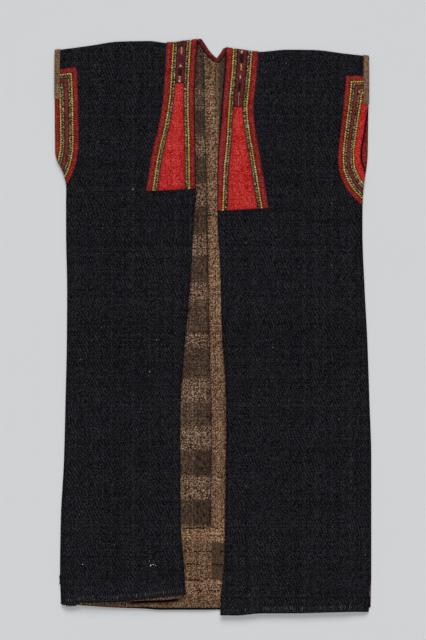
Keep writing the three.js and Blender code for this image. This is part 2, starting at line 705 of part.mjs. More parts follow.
// The collar's bands, each the strip between two columns of a front. All but the middle one run from the
// collar's foot over the shoulder's fold. The middle is a plain panel at first, and a patterned tape above
// that.
function addCollar(front) {
  const { fromCollar, fromOpening, collarMiddle } = front;
  const levels = frontLevels(front);
  const rolled = BAND_ROLL_ANGLES.map((roll) => ({ roll }));
  const overShoulder = [...levels.yoke, levels.belowRoll, levels.rollStart, ...rolled];
  const whole = [...levels.collar, ...overShoulder];
  const panel = [...levels.collar, { line: () => front.tapeFootY - SEAM_GAP }];
  const half = SEAM_GAP / 2;
  const braidEnd = COLLAR_EDGE_WIDTH + BRAID_WIDTH;
  const outerEdge = [fromCollar(0), fromCollar(COLLAR_EDGE_WIDTH - half)];
  const outerBraid = [fromCollar(COLLAR_EDGE_WIDTH + half), fromCollar(braidEnd - half)];
  const middle = [fromCollar(braidEnd + half), collarMiddle, innerSeam(front, BRAID_WIDTH + half)];
  const innerBraid = [innerSeam(front, BRAID_WIDTH - half), innerSeam(front, half)];
  const innerEdge = [innerSeam(front, -half), fromOpening(0)];
  const bands = [
    { name: "collar_edge_outer_", columns: outerEdge, rows: whole, thick: WOOL_BAND, colour: "crimson" },
    { name: "collar_braid_outer_", columns: outerBraid, rows: whole, thick: BRAID, colour: "braid" },
    { name: "collar_panel_", columns: middle, rows: panel, thick: WOOL_BAND, colour: "scarlet" },
    { name: "collar_tape_", columns: middle, rows: overShoulder, thick: WOOL_BAND, colour: "crimson" },
    { name: "collar_braid_inner_", columns: innerBraid, rows: whole, thick: BRAID, colour: "braid" },
    { name: "collar_edge_inner_", columns: innerEdge, rows: whole, thick: WOOL_BAND, colour: "crimson" },
  ];
  for (const { name, columns, rows, thick, colour } of bands) {
    const grid = faceGrid(front, columns, rows);
    add(name + front.name, wallOnGrid(grid, front.inward, SEAM_GAP, thick), colour);
  }
}

// The brown binding over the top of a front's armhole edge, rolled over the shoulder with the cloth.
function addArmholeBinding(front) {
  const columns = [0, 3, ARMHOLE_BINDING_WIDTH].map(front.fromSide);
  const start = (x) => front.shoulder(x) - ROLL_RADIUS;
  const upright = [0, 1, 2, 3].map((i) => ({ line: (x) => mix(front.bindingFootY, start(x), i / 3) }));
  const rolled = BAND_ROLL_ANGLES.map((roll) => ({ roll }));
  const grid = faceGrid(front, columns, [...upright, ...rolled]);
  add("armhole_binding_" + front.name, wallOnGrid(grid, front.inward, SEAM_GAP, LINING_CLOTH), "lining");
}

// The nested bands round a front's armhole. The cloth lies flat there, so each is cut flat: what is left of
// the region inside one line when the region inside the next line is taken away, kept where the front is.
function addArmholeBands(front) {
  const z = FRONT_TOP_Z + SEAM_GAP;
  const clip = toSolid(cutShape(armholeClip(front), z - CUT_MARGIN, BRAID + 2 * CUT_MARGIN));
  let from = 0;
  for (const band of ARMHOLE_BANDS) {
    const to = from + band.width;
    const outer = insideBandLine(front, from + SEAM_GAP / 2, z, band.thick);
    const inner = insideBandLine(front, to - SEAM_GAP / 2, z - CUT_MARGIN, band.thick + 2 * CUT_MARGIN);
    const solid = outer.subtract(inner).intersect(clip);
    const pieces = solid.decompose().sort((a, b) => b.volume() - a.volume());
    add("armhole_" + band.name + "_" + front.name, toGeometry(pieces[0]), band.colour);
    from = to;
  }
}

// The sheet inside the bands' outer line moved in by a distance: beside the curve and below the straight top.
function insideBandLine(front, distance, z, thick) {
  const spline = new THREE.CatmullRomCurve3(front.bandLine.map(({ x, y }) => new THREE.Vector3(x, y, 0)));
  const down = spline.getPoints(BAND_SAMPLES).map(({ x, y }) => [x, y]);
  const [top, second] = down;
  const [before, foot] = down.slice(-2);
  const above = [2 * top[0] - second[0], 2 * top[1] - second[1]];
  const beyond = [foot[0] + 4 * (foot[0] - before[0]), foot[1] + 4 * (foot[1] - before[1])];
  const curve = offsetLine([above, ...down.slice(1), beyond], -front.inward * distance);
  const outside = top[0] - front.inward * BAND_REACH;
  const beside = [...curve, [outside, curve[curve.length - 1][1]], [outside, curve[0][1]]];
  const topY = top[1] - distance;
  const below = [
    [top[0] + front.inward * BAND_REACH, topY - front.bandTopRise],
    [outside, topY + front.bandTopRise],
    [outside, topY - 3 * BAND_REACH],
    [top[0] + front.inward * BAND_REACH, topY - 3 * BAND_REACH],
  ];
  const cover = toSolid(cutShape(below, z - CUT_MARGIN, thick + 2 * CUT_MARGIN));
  return toSolid(cutShape(beside, z, thick)).intersect(cover);
}

// Where the nested bands may lie: on the front, clear of its edge and of the brown binding.
function armholeClip(front) {
  const edge = (distance) => (y) => [front.fromSide(distance)(y), y];
  const bindingFoot = front.bindingFootY - SEAM_GAP;
  const [lowY, highY] = [front.underarmY - ARMHOLE_BINDING_WIDTH, bindingFoot + BAND_REACH];
  const low = rungs(lowY, bindingFoot, EDGE_STEP / 2).map(edge(EDGE_MARGIN));
  const high = [bindingFoot, highY].map(edge(ARMHOLE_BINDING_WIDTH + SEAM_GAP));
  const far = front.side(lowY) + front.inward * BAND_REACH;
  return [...low, ...high, [far, highY], [far, lowY]];
}

addBack();
addHemFacing();
addNeckBinding();
for (const front of [left, right]) {
  addArmholeFacing(front);
  addFront(front);
  addCollar(front);
  addArmholeBinding(front);
  addArmholeBands(front);
}

export default robe;
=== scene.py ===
# %% [markdown]
# # A sleeveless long robe of dark homespun, laid flat
#
# The real robe is nothing but layers of cloth: a back, its brown lining, two fronts with linings of their
# own, and bands of red wool and braid sewn on the fronts. One way to make it is to model each layer by hand
# and push it into place. Here every layer is a grid of points worked out with numpy, because all of them
# then follow the same few curves, and nothing has to be fitted by eye.

import bpy
import numpy as np
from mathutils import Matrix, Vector


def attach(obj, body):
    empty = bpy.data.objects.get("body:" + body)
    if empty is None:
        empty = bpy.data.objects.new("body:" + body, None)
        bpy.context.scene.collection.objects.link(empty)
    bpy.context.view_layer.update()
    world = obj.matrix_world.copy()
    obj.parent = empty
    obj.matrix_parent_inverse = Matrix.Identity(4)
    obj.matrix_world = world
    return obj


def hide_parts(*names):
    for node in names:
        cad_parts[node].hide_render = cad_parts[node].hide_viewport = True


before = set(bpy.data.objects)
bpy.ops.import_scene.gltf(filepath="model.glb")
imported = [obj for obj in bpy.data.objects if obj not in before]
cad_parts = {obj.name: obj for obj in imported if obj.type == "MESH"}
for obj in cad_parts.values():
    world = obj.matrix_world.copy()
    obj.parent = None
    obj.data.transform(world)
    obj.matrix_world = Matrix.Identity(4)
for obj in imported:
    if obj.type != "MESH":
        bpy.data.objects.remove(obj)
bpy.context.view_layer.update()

MM = 0.001

# %% [markdown]
# ## Camera, lights and floor
#
# The photograph looks straight down on the robe, so the camera hangs above it. A long lens from three metres
# keeps the edges parallel. The floor in the photograph is equally bright everywhere, with only faint soft
# shadows below the hem and under the arms. Lamps near the robe would light it unevenly. A low sun from the
# neck's side, a wide one overhead and a pale world, which fill the shadows, don't.

# %% Hang the camera over the robe
FRAME_HEIGHT = 1.216
CAMERA_HEIGHT = 3.0
SENSOR = 36.0
VIEW_CENTRE = (0.0, 0.0128)

camera = bpy.data.cameras.new("overhead")
camera.sensor_fit = "VERTICAL"
camera.sensor_height = SENSOR
camera.lens = SENSOR * CAMERA_HEIGHT / FRAME_HEIGHT
holder = bpy.data.objects.new("overhead", camera)
holder.location = (*VIEW_CENTRE, CAMERA_HEIGHT)
bpy.context.scene.collection.objects.link(holder)
bpy.context.scene.camera = holder
bpy.context.scene.view_settings.view_transform = "Standard"
print("lens", round(camera.lens, 1), "mm")

# %% Light it evenly from the neck's side
SUNS = {"neck_side": ((-0.04, 1.4, 1.0), 1.9, 30.0), "overhead": ((0.05, -0.25, 1.0), 1.06, 50.0)}
WORLD_STRENGTH = 0.145

for name, (direction, strength, angle) in SUNS.items():
    sun = bpy.data.lights.new(name, "SUN")
    sun.energy = strength
    sun.angle = np.radians(angle)
    sun_holder = bpy.data.objects.new(name, sun)
    sun_holder.location = Vector(direction) * 2.0
    sun_holder.rotation_euler = (-Vector(direction)).to_track_quat("-Z", "Y").to_euler()
    bpy.context.scene.collection.objects.link(sun_holder)

world = bpy.data.worlds.new("pale_room")
world.use_nodes = True
world.node_tree.nodes["Background"].inputs["Color"].default_value = (1.0, 1.0, 1.0, 1)
world.node_tree.nodes["Background"].inputs["Strength"].default_value = WORLD_STRENGTH
bpy.context.scene.world = world
print("suns:", ", ".join(SUNS), "and world", WORLD_STRENGTH)

# %% [markdown]
# ## Shader effects that several cloths share
#
# Weave, ribs, slub streaks, flecks, soiling and nap are each a node group, so that every cloth uses the same
# effect with its own numbers. Pictures of cloth would be quicker, but they repeat and blur. Patterns worked
# out by nodes stay sharp at any distance. All of them read the cloth's own UV map, whose unit is a metre of
# cloth, so that threads follow the cloth over its folds.

# %% Small helpers for node trees


def wire(tree, value, socket):
    """Links a socket to another socket, or sets it to a constant."""
    if isinstance(value, bpy.types.NodeSocket):
        tree.links.new(value, socket)
    else:
        socket.default_value = value


def add_node(tree, kind, *values, named=None, **settings):
    """Adds a node and returns its outputs. Values go to its first inputs, in order, and the named ones to
    the inputs of that name or number. Settings are the node's own."""
    node = tree.nodes.new("ShaderNode" + kind)
    for key, setting in settings.items():
        setattr(node, key, setting)
    for value, socket in zip(values, node.inputs):
        wire(tree, value, socket)
    for key, value in (named or {}).items():
        wire(tree, value, node.inputs[key])
    return node.outputs


def calculate(tree, operation, *values):
    """A Math node's result."""
    return add_node(tree, "Math", *values, operation=operation)[0]


def vectors(tree, operation, *values):
    """A Vector Math node's result."""
    return add_node(tree, "VectorMath", *values, operation=operation)[0]


def noise(tree, vector, scale, detail=2.0, roughness=0.5):
    """Cloudy values from 0 to 1."""
    named = {"Vector": vector, "Scale": scale, "Detail": detail, "Roughness": roughness}
    return add_node(tree, "TexNoise", named=named)[0]


def stretch(tree, value, low, high, to_low=0.0, to_high=1.0):
    """The value moved from one range to another, and held inside it."""
    return add_node(tree, "MapRange", value, low, high, to_low, to_high)[0]


def blend(tree, factor, first, second):
    """A colour between two colours."""
    return add_node(tree, "Mix", named={0: factor, 6: first, 7: second}, data_type="RGBA")[2]


def overlay(tree, colour, *coats):
    """A colour with coats laid over it in turn. Each coat is a mask, its greatest share, and its colour."""
    for mask, share, over in coats:
        colour = blend(tree, calculate(tree, "MULTIPLY", mask, share), colour, over)
    return colour


def random_value(tree, x, y, z):
    """A random number from 0 to 1 that is the same wherever x, y and z are."""
    place = add_node(tree, "CombineXYZ", x, y, z)[0]
    return add_node(tree, "TexWhiteNoise", named={"Vector": place})["Value"]


def tone(red, green, blue):
    """A colour as the eye names it, 0 to 255, turned into the linear light that nodes work in."""
    share = np.array([red, green, blue]) / 255
    linear = np.where(share <= 0.04045, share / 12.92, ((share + 0.055) / 1.055) ** 2.4)
    return (*linear.tolist(), 1.0)


# %% Node groups: streaks, weave, ribs, flecks, soiling and nap


def new_group(name, outputs, **numbers):
    """A node group that takes a vector and named numbers with starting values, and its sockets inside."""
    tree = bpy.data.node_groups.new(name, "ShaderNodeTree")
    tree.interface.new_socket("Vector", in_out="INPUT", socket_type="NodeSocketVector")
    for label, start in numbers.items():
        tree.interface.new_socket(label, in_out="INPUT", socket_type="NodeSocketFloat").default_value = start
    for label in outputs:
        tree.interface.new_socket(label, in_out="OUTPUT", socket_type="NodeSocketFloat")
    return tree, tree.nodes.new("NodeGroupInput").outputs, tree.nodes.new("NodeGroupOutput").inputs


def make_streaks():
    """Slubs: noise drawn out along the cloth, whose direction wanders because slow noise is added to x."""
    tree, given, result = new_group("streaks", ["Value"], Across=260, Along=50, Wander=0.03)
    slow = calculate(tree, "SUBTRACT", noise(tree, given["Vector"], 6.0, 1.0), 0.5)
    drift = add_node(tree, "CombineXYZ", calculate(tree, "MULTIPLY", slow, given["Wander"]))[0]
    scale = add_node(tree, "CombineXYZ", given["Across"], given["Along"])[0]
    drawn = vectors(tree, "MULTIPLY", vectors(tree, "ADD", given["Vector"], drift), scale)
    wire(tree, stretch(tree, noise(tree, drawn, 1.0, 2.0, 0.6), 0.3, 0.7), result["Value"])
    return tree


def make_weave():
    """Plain weave of coarse handspun yarn.

    |sin| of x and of y are round threads, and the sign of sin x times sin y says which is on top. Shade is
    random: partly the crossing's own, and partly that of the whole thread on top.
    """
    tree, given, result = new_group("weave", ["Height", "Shade"], Warps=520, Wefts=400)
    wobble = calculate(tree, "MULTIPLY", noise(tree, given["Vector"], 55.0, 2.0), 2.2)
    place = add_node(tree, "SeparateXYZ", given["Vector"])
    turns = [
        calculate(tree, "MULTIPLY_ADD", place[axis], given[count], wobble)
        for axis, count in enumerate(("Warps", "Wefts"))
    ]
    waves = [calculate(tree, "SINE", calculate(tree, "MULTIPLY", turn, np.pi)) for turn in turns]
    round_x, round_y = [calculate(tree, "ABSOLUTE", wave) for wave in waves]
    on_top = calculate(tree, "GREATER_THAN", calculate(tree, "MULTIPLY", *waves), 0.0)
    step = calculate(tree, "SUBTRACT", round_y, round_x)
    wire(tree, calculate(tree, "MULTIPLY_ADD", step, on_top, round_x), result["Height"])
    warp, weft = [calculate(tree, "FLOOR", turn) for turn in turns]
    thread = calculate(tree, "MULTIPLY_ADD", calculate(tree, "SUBTRACT", weft, warp), on_top, warp)
    crossing_shade = random_value(tree, warp, weft, 0.5)
    thread_shade = random_value(tree, thread, on_top, 7.5)
    apart = calculate(tree, "SUBTRACT", thread_shade, crossing_shade)
    wire(tree, calculate(tree, "MULTIPLY_ADD", apart, 0.3, crossing_shade), result["Shade"])
    return tree


def make_ribs():
    """Ribs: a sine wave across the cloth. Its crests lean, as y is added to x, and wander with slow
    noise."""
    tree, given, result = new_group("ribs", ["Value"], Ribs=190, Lean=0.3, Wander=0.02)
    place = add_node(tree, "SeparateXYZ", given["Vector"])
    leaning = calculate(tree, "MULTIPLY_ADD", place[1], given["Lean"], place[0])
    slow = noise(tree, given["Vector"], 9.0, 1.0)
    moved = calculate(tree, "MULTIPLY_ADD", slow, given["Wander"], leaning)
    turns = calculate(tree, "MULTIPLY", moved, calculate(tree, "MULTIPLY", given["Ribs"], 2 * np.pi))
    wire(tree, calculate(tree, "MULTIPLY_ADD", calculate(tree, "SINE", turns), 0.5, 0.5), result["Value"])
    return tree


def make_flecks():
    """Flecks: small round spots in some cells of a scattered pattern, chosen by the cell's random colour."""
    tree, given, result = new_group("flecks", ["Mask"], Scale=120, Share=0.3, Size=0.12)
    cells = add_node(tree, "TexVoronoi", named={"Vector": given["Vector"], "Scale": given["Scale"]})
    draw = add_node(tree, "SeparateColor", cells["Color"])
    chosen = calculate(tree, "LESS_THAN", draw[0], given["Share"])
    near = calculate(tree, "LESS_THAN", cells["Distance"], given["Size"])
    shade = stretch(tree, draw[1], 0.0, 1.0, 0.35, 1.0)
    spot = calculate(tree, "MULTIPLY", chosen, near)
    wire(tree, calculate(tree, "MULTIPLY", spot, shade), result["Mask"])
    return tree


def make_soiling():
    """Soiling: broad cloudy patches with finer ones in them."""
    tree, given, result = new_group("soiling", ["Mask"], Scale=7)
    cloud = noise(tree, given["Vector"], given["Scale"], 5.0, 0.62)
    wire(tree, stretch(tree, cloud, 0.35, 0.7), result["Mask"])
    return tree


def make_nap():
    """Nap: the short fibres of fulled wool, as fine noise over coarser tufts."""
    tree, given, result = new_group("nap", ["Height", "Shade"], Fineness=1500)
    fine = noise(tree, given["Vector"], given["Fineness"], 2.0, 0.7)
    tufts = noise(tree, given["Vector"], calculate(tree, "MULTIPLY", given["Fineness"], 0.28), 2.0)
    wire(tree, calculate(tree, "MULTIPLY_ADD", tufts, 0.7, fine), result["Height"])
    wire(tree, stretch(tree, calculate(tree, "ADD", fine, tufts), 0.65, 1.35), result["Shade"])
    return tree


MAKERS = (make_streaks, make_weave, make_ribs, make_flecks, make_soiling, make_nap)
GROUPS = {tree.name: tree for tree in [maker() for maker in MAKERS]}
print("effects:", ", ".join(GROUPS))

# %% [markdown]
# ## Cloth finishes
#
# Each finish has its own Principled shader. The dark homespun is nearly black with paler slubs and grey
# flecks. The linings are brown with light and dark threads. The wool bands are fulled, so they show nap and
# no weave. Threads take their colour from a colour attribute, because one braid has hundreds of stitches in
# several colours.

# %% Helpers for finishes
YARN_DEPTH = 0.0004
NAP_DEPTH = 0.0003


def new_finish(name, roughness, shine=0.1):
    """An empty material, its tree and its shader's inputs, with the numbers that are the same all over."""
    material = bpy.data.materials.new(name)
    material.use_nodes = True
    inputs = material.node_tree.nodes["Principled BSDF"].inputs
    inputs["Roughness"].default_value = roughness
    inputs["Specular IOR Level"].default_value = shine
    return material, material.node_tree, inputs


def effect(tree, name, vector, **numbers):
    """Places one of the node groups and returns its outputs."""
    return add_node(tree, "Group", named={"Vector": vector, **numbers}, node_tree=GROUPS[name])


def cloth_map(tree):
    """The UV map of the cloth, in metres."""
    return add_node(tree, "UVMap", uv_map="cloth")[0]


def point_value(tree, name):
    """A number that the mesh keeps at each point."""
    return add_node(tree, "Attribute", attribute_name=name)["Fac"]


def cover(tree, inputs, colour, height, depth):
    """Gives a shader its colour, and bump from a height, as deep as `depth` in metres."""
    wire(tree, colour, inputs["Base Color"])
    wire(tree, add_node(tree, "Bump", named={"Distance": depth, "Height": height})[0], inputs["Normal"])


# %% Dark homespun


def make_homespun():
    """Nearly black handspun yarn.

    The lightness of a spot is its yarn's random shade, with leaning ribs and slubs added, and then squared,
    which leaves most of the cloth black. Broad patches tend to green or purple, and flecks of lint lie on
    it.
    """
    material, tree, inputs = new_finish("dark_homespun", 0.95, shine=0.04)
    cloth = cloth_map(tree)
    elsewhere = vectors(tree, "ADD", cloth, (5.0, 2.0, 0.0))
    weave = effect(tree, "weave", cloth, Warps=640.0, Wefts=760.0)
    ribs = effect(tree, "ribs", cloth, Ribs=190.0, Lean=0.46, Wander=0.035)["Value"]
    slubs = effect(tree, "streaks", cloth, Across=560.0, Along=420.0, Wander=0.05)["Value"]
    light = calculate(tree, "MULTIPLY_ADD", ribs, 0.3, calculate(tree, "MULTIPLY", weave["Shade"], 1.1))
    light = stretch(tree, calculate(tree, "MULTIPLY_ADD", slubs, 0.26, light), 0.42, 1.42)
    light = calculate(tree, "MULTIPLY", light, light)
    colour = overlay(
        tree, blend(tree, light, tone(2, 2, 3), tone(72, 71, 79)),
        (effect(tree, "soiling", cloth, Scale=22.0)["Mask"], 0.22, tone(20, 28, 22)),
        (effect(tree, "soiling", elsewhere, Scale=15.0)["Mask"], 0.22, tone(26, 22, 34)),
        # Darker near the cut edges: wear, and painted shade where the cloth meets the layer beside it
        (point_value(tree, "edge"), 0.6, tone(9, 9, 11)),
        (effect(tree, "flecks", cloth, Scale=230.0, Share=0.16, Size=0.2)["Mask"], 0.42, tone(104, 112, 118)),
        (effect(tree, "flecks", cloth, Scale=80.0, Share=0.1, Size=0.075)["Mask"], 0.7, tone(150, 154, 150)),
    )
    cover(tree, inputs, colour, calculate(tree, "MULTIPLY_ADD", light, 0.8, weave["Height"]), YARN_DEPTH)
    return material


dark_homespun = make_homespun()
print("made", dark_homespun.name)

# %% Brown linings


def make_lining(name, *tones):
    """Brown cloth of mixed yarns, from its pale and deep colours and those of its light and dark specks.

    Crossings whose random shade is high are nearly the light speck's colour, and those whose shade is low
    nearly the dark one's. Pale checks show most light specks.
    """
    pale, deep, light_speck, dark_speck = [tone(*colour) for colour in tones]
    material, tree, inputs = new_finish(name, 0.95, shine=0.06)
    cloth, check = cloth_map(tree), point_value(tree, "check")
    weave = effect(tree, "weave", cloth, Warps=700.0, Wefts=730.0)
    lumps = stretch(tree, noise(tree, cloth, 330.0, 2.0, 0.7), 0.35, 0.65, -0.12, 0.12)
    shade = calculate(tree, "ADD", weave["Shade"], lumps)
    colour = overlay(
        tree, blend(tree, check, pale, deep),
        (effect(tree, "streaks", cloth, Across=330.0, Along=90.0, Wander=0.02)["Value"], 0.14, light_speck),
        (stretch(tree, shade, 0.56, 0.88), stretch(tree, check, 0.0, 1.0, 1.0, 0.1), light_speck),
        (stretch(tree, shade, 0.54, 0.18), stretch(tree, check, 0.2, 1.0, 1.0, 0.6), dark_speck),
        (effect(tree, "soiling", cloth, Scale=13.0)["Mask"], 0.3, dark_speck),
        # Darker near the cut edges: wear, and painted shade where the cloth meets the layer beside it
        (point_value(tree, "edge"), 0.45, dark_speck),
        # Above 1, check darkens towards the dark speck: a stain, the facing's darkest check, painted shade
        # beside the right front's edge and a painted shadow below the lifted left hem
        (stretch(tree, check, 1.0, 2.0), 1.0, dark_speck),
    )
    cover(tree, inputs, colour, calculate(tree, "MULTIPLY_ADD", shade, 0.6, weave["Height"]), YARN_DEPTH)
    return material


lining_plain = make_lining("lining_plain", (126, 84, 58), (58, 42, 33), (236, 194, 156), (10, 7, 5))
lining_checked = make_lining("lining_checked", (90, 61, 46), (28, 21, 18), (234, 192, 160), (7, 5, 4))
binding_brown = make_lining("binding_brown", (150, 116, 88), (108, 82, 64), (190, 154, 124), (84, 62, 48))
print("made", lining_plain.name, lining_checked.name, "and", binding_brown.name)

# %% Red wool and thread


def make_wool(name, fade_share, *tones):
    """Fulled wool, from its main, faded and deep colours: yarn by yarn it is lighter or deeper, nap softens
    it, soiling fades it, and its edges are darker: wear, and painted shade where it meets the cloth beside
    it.
    On the armhole facings the edge value also holds a painted shadow under the front's edge."""
    main, faded, deep = [tone(*colour) for colour in tones]
    material, tree, inputs = new_finish(name, 0.95, shine=0.06)
    cloth = cloth_map(tree)
    nap = effect(tree, "nap", cloth, Fineness=1300.0)
    weave = effect(tree, "weave", cloth, Warps=620.0, Wefts=580.0)
    colour = overlay(
        tree, main,
        (effect(tree, "soiling", cloth, Scale=22.0)["Mask"], fade_share, faded),
        (stretch(tree, weave["Shade"], 0.58, 1.0), 0.95, faded),
        (stretch(tree, weave["Shade"], 0.5, 0.0), 0.95, deep),
        (stretch(tree, nap["Shade"], 1.0, 0.0), 0.24, deep),
        (point_value(tree, "edge"), 0.75, deep),
    )
    height = calculate(tree, "MULTIPLY_ADD", nap["Height"], 0.8, weave["Height"])
    cover(tree, inputs, colour, height, NAP_DEPTH)
    return material


def make_thread():
    """Twisted thread: its own colour, with painted shade in the hollows of the twist."""
    material, tree, inputs = new_finish("braid_thread", 0.85)
    twist = noise(tree, add_node(tree, "TexCoord")["Object"], 1500.0, 3.0, 0.7)
    own = add_node(tree, "Attribute", attribute_name="thread")["Color"]
    colour = overlay(tree, own, (stretch(tree, twist, 0.7, 0.3), 0.3, tone(24, 22, 20)))
    cover(tree, inputs, colour, twist, NAP_DEPTH)
    return material


crimson_wool = make_wool("crimson_wool", 0.25, (153, 37, 38), (212, 86, 80), (34, 6, 8))
worn_crimson = make_wool("worn_crimson", 0.3, (130, 44, 40), (186, 92, 80), (28, 8, 8))
scarlet_wool = make_wool("scarlet_wool", 0.12, (214, 38, 36), (246, 112, 104), (100, 8, 8))
tape_wool = make_wool("tape_wool", 0.25, (116, 36, 36), (170, 86, 78), (26, 8, 8))
dark_tape = make_wool("braid_ground", 0.4, (58, 52, 34), (92, 86, 58), (20, 16, 12))
braid_thread = make_thread()
print("made wool and thread")

# %% Floor
FLOOR_HALF = 4.0
FLOOR_DROP = 0.0004


def make_paper():
    """Plain pale paper with the faintest clouding."""
    material, tree, inputs = new_finish("pale_paper", 0.9)
    cloud = noise(tree, add_node(tree, "TexCoord")["Object"], 2.5)
    wire(tree, blend(tree, cloud, tone(226, 227, 229), tone(229, 230, 232)), inputs["Base Color"])
    return material


floor_mesh = bpy.data.meshes.new("floor")
corners = FLOOR_HALF * np.array([(-1, -1, 0), (1, -1, 0), (1, 1, 0), (-1, 1, 0)]) - (0, 0, FLOOR_DROP)
floor_mesh.from_pydata(corners.tolist(), [], [(0, 1, 2, 3)])
floor_mesh.materials.append(make_paper())
floor = bpy.data.objects.new("floor", floor_mesh)
bpy.context.scene.collection.objects.link(floor)
print("floor", 2 * FLOOR_HALF, "m wide")

# %% [markdown]
# ## The robe's edges as smooth curves
#
# A maker would note where each edge lies at a few heights and draw a fair curve through the notes. The
# tables below are those notes, in millimetres. A spline could overshoot between them, so the curve used here
# takes at each note the harmonic mean of the slopes on its two sides, which never does.

# %% A fair curve through a table


def cubic(start, end, start_slope, end_slope, t):
    """The cubic that goes from start to end with given slopes there, at t from 0 to 1."""
    ends = start * (2 * t**3 - 3 * t**2 + 1) + end * (3 * t**2 - 2 * t**3)
    return ends + start_slope * (t**3 - 2 * t**2 + t) + end_slope * (t**3 - t**2)


def fair_curve(rows):
    """A curve through (key, value) rows: cubic between rows, with harmonic-mean slopes at them."""
    keys, values = np.array(sorted(rows), float).T
    slopes = np.diff(values) / np.diff(keys)
    before, after = np.r_[slopes[0], slopes], np.r_[slopes, slopes[-1]]
    same_way = before * after > 0
    total = np.where(same_way, before + after, 1.0)
    tangents = np.where(same_way, 2 * before * after / total, 0.0)

    def value_at(key):
        i = np.clip(np.searchsorted(keys, key, side="right") - 1, 0, len(slopes) - 1)
        span = keys[i + 1] - keys[i]
        t = np.clip((key - keys[i]) / span, 0, 1)
        return cubic(values[i], values[i + 1], tangents[i] * span, tangents[i + 1] * span, t)

    return value_at


def columns_of(table):
    """The fair curves of a table whose rows are (y, left value, right value)."""
    return {name: fair_curve([(row[0], row[k]) for row in table]) for k, name in ((1, "left"), (2, "right"))}


# %% Notes of the edges: y, then x or a distance at the left and at the right
SIDES = columns_of([
    (560, -299.5, 295.5), (478, -300.3, 295.5), (330, -299.4, 294), (314, -295.3, 293), (300, -287.6, 291.5),
    (285, -282.2, 289), (267, -278.7, 286), (232, -279, 284), (184, -279, 283.7), (70, -277, 288),
    (-25, -277.5, 293), (-139, -280, 297), (-253, -283, 300.5), (-367, -289, 300.5), (-472, -290.5, 300.5),
    (-550, -287, 299),
])
ARMHOLE_BOW = columns_of([
    (424, 0, 0), (411, 0, 2), (389, 0, 5.6), (366, 0, 9), (343, 0, 12.4), (332, 0, 13.9), (320, 0, 13.5),
    (309, 0, 10.4), (298, 0, 4.6), (285, 0, 0),
])
SLITS = columns_of([(-480, 0, 0), (-500, 1.5, 1.5), (-550, 1, 4)])
OPENING = columns_of([
    (560, -28, 24.5), (507, -32, 23), (431, -35, 16.8), (330, -33, 9.8), (255, -32.5, 8.3),
    (215, -35.5, 8.5), (113, -41, 13.5), (-12, -51.5, 17), (-101, -59, 23), (-165, -62, 25),
    (-365, -61.5, 23), (-445, -55.5, 21), (-505, -52, 15.5), (-550, -51, 13.5),
])
COLLAR_OUTER = columns_of([
    (560, -86.5, 88), (507, -89.8, 85.2), (461, -92.4, 81.4), (435, -94.5, 78.6), (414, -97.2, 77),
    (393, -100.8, 78.2), (372, -105.2, 81), (347, -111.4, 85.2), (324, -116.5, 89.2), (302, -120.2, 92.8),
    (279, -123.6, 96.6), (215, -134, 107),
])
COLLAR_INNER_EDGE = columns_of([
    (530, 11, 13.4), (484, 10.9, 13.2), (438, 10.8, 13.0), (393, 10.7, 13.8), (358, 10.6, 14.4),
    (324, 10.6, 12.8), (302, 10.5, 11), (256, 10.5, 9.8), (215, 10.5, 7.8),
])
BARE_EDGE = columns_of([
    (560, 0, 0), (507, 0.8, 1.6), (442, 1.3, 2.8), (397, 1.3, 3.1), (351, 1.3, 1.9), (305, 1.3, 0.8),
    (215, 1.3, 0.6),
])
SHOULDER = {
    "left": fair_curve([(-305, 524), (-234, 533.5), (-177, 541.5), (-120, 542.5), (-88, 539), (-27, 545.6)]),
    "right": fair_curve([
        (24, 529.8), (62, 524.3), (84, 521.8), (142, 526), (190, 525.5), (251, 518.5), (305, 512.5),
    ]),
}
HEM = {
    "left": fair_curve([
        (-290, -527.6), (-263, -527.2), (-251, -523), (-222, -521.8), (-194, -521.4), (-162, -519),
        (-133, -515.3), (-101, -512), (-50, -507),
    ]),
    "right": fair_curve([
        (13, -546.6), (44, -547.1), (92, -543.2), (150, -543), (271, -540.5), (300, -541.5),
    ]),
    "back": fair_curve([
        (-290, -526), (-242, -529.4), (-195, -532.6), (-133, -535), (-100, -537.2), (-20, -537.3),
        (300, -533),
    ]),
}
LINING_SHOWS = {
    "left": fair_curve([(-290, 3), (-165, 1), (-120, 3.5), (-88, 5.6), (-50, 5)]),
    "right": fair_curve([(0, -5), (300, -5)]),
}
FACING_INSET = fair_curve([(-290, 1.2), (-200, 1.4), (-150, 2.8), (-110, 4.4), (-20, 4.4), (300, 4)])
HEM_LIFT = 2.6
# How far below the left hem the middle of the painted shadow on the facing lies, in the gap under the lifted
# hem
HEM_SHADOW_DROP = fair_curve([(-165, 3.5), (-120, 6.8), (-88, 9), (-60, 8.2)])
LINING_SEAM = fair_curve([(560, -19), (250, -12.5), (-25, -7), (-200, -3), (-340, -4), (-540, -4.5)])
NECK_LINE = np.array([
    (-28.4, 546.7), (-22.0, 546.2), (-16.4, 538.4), (-9.0, 526.6), (-1.7, 517.6), (7.0, 509.6),
    (14.6, 520.0), (19.8, 528.2), (23.6, 529.6),
])
print("robe", SIDES["right"](0.0) - SIDES["left"](0.0), "mm wide at the waist")

# %% [markdown]
# ## Layers, folds and the shoulder's roll
#
# The fronts lie on the lining, curl down to the side seams and roll over at the shoulders. Pressing and
# storing has left soft ridges and troughs. Cloth simulation could make folds, but not these ones. Each fold
# is therefore noted as a line with a half-width and a rise, and its shape is a bell curve across that line.

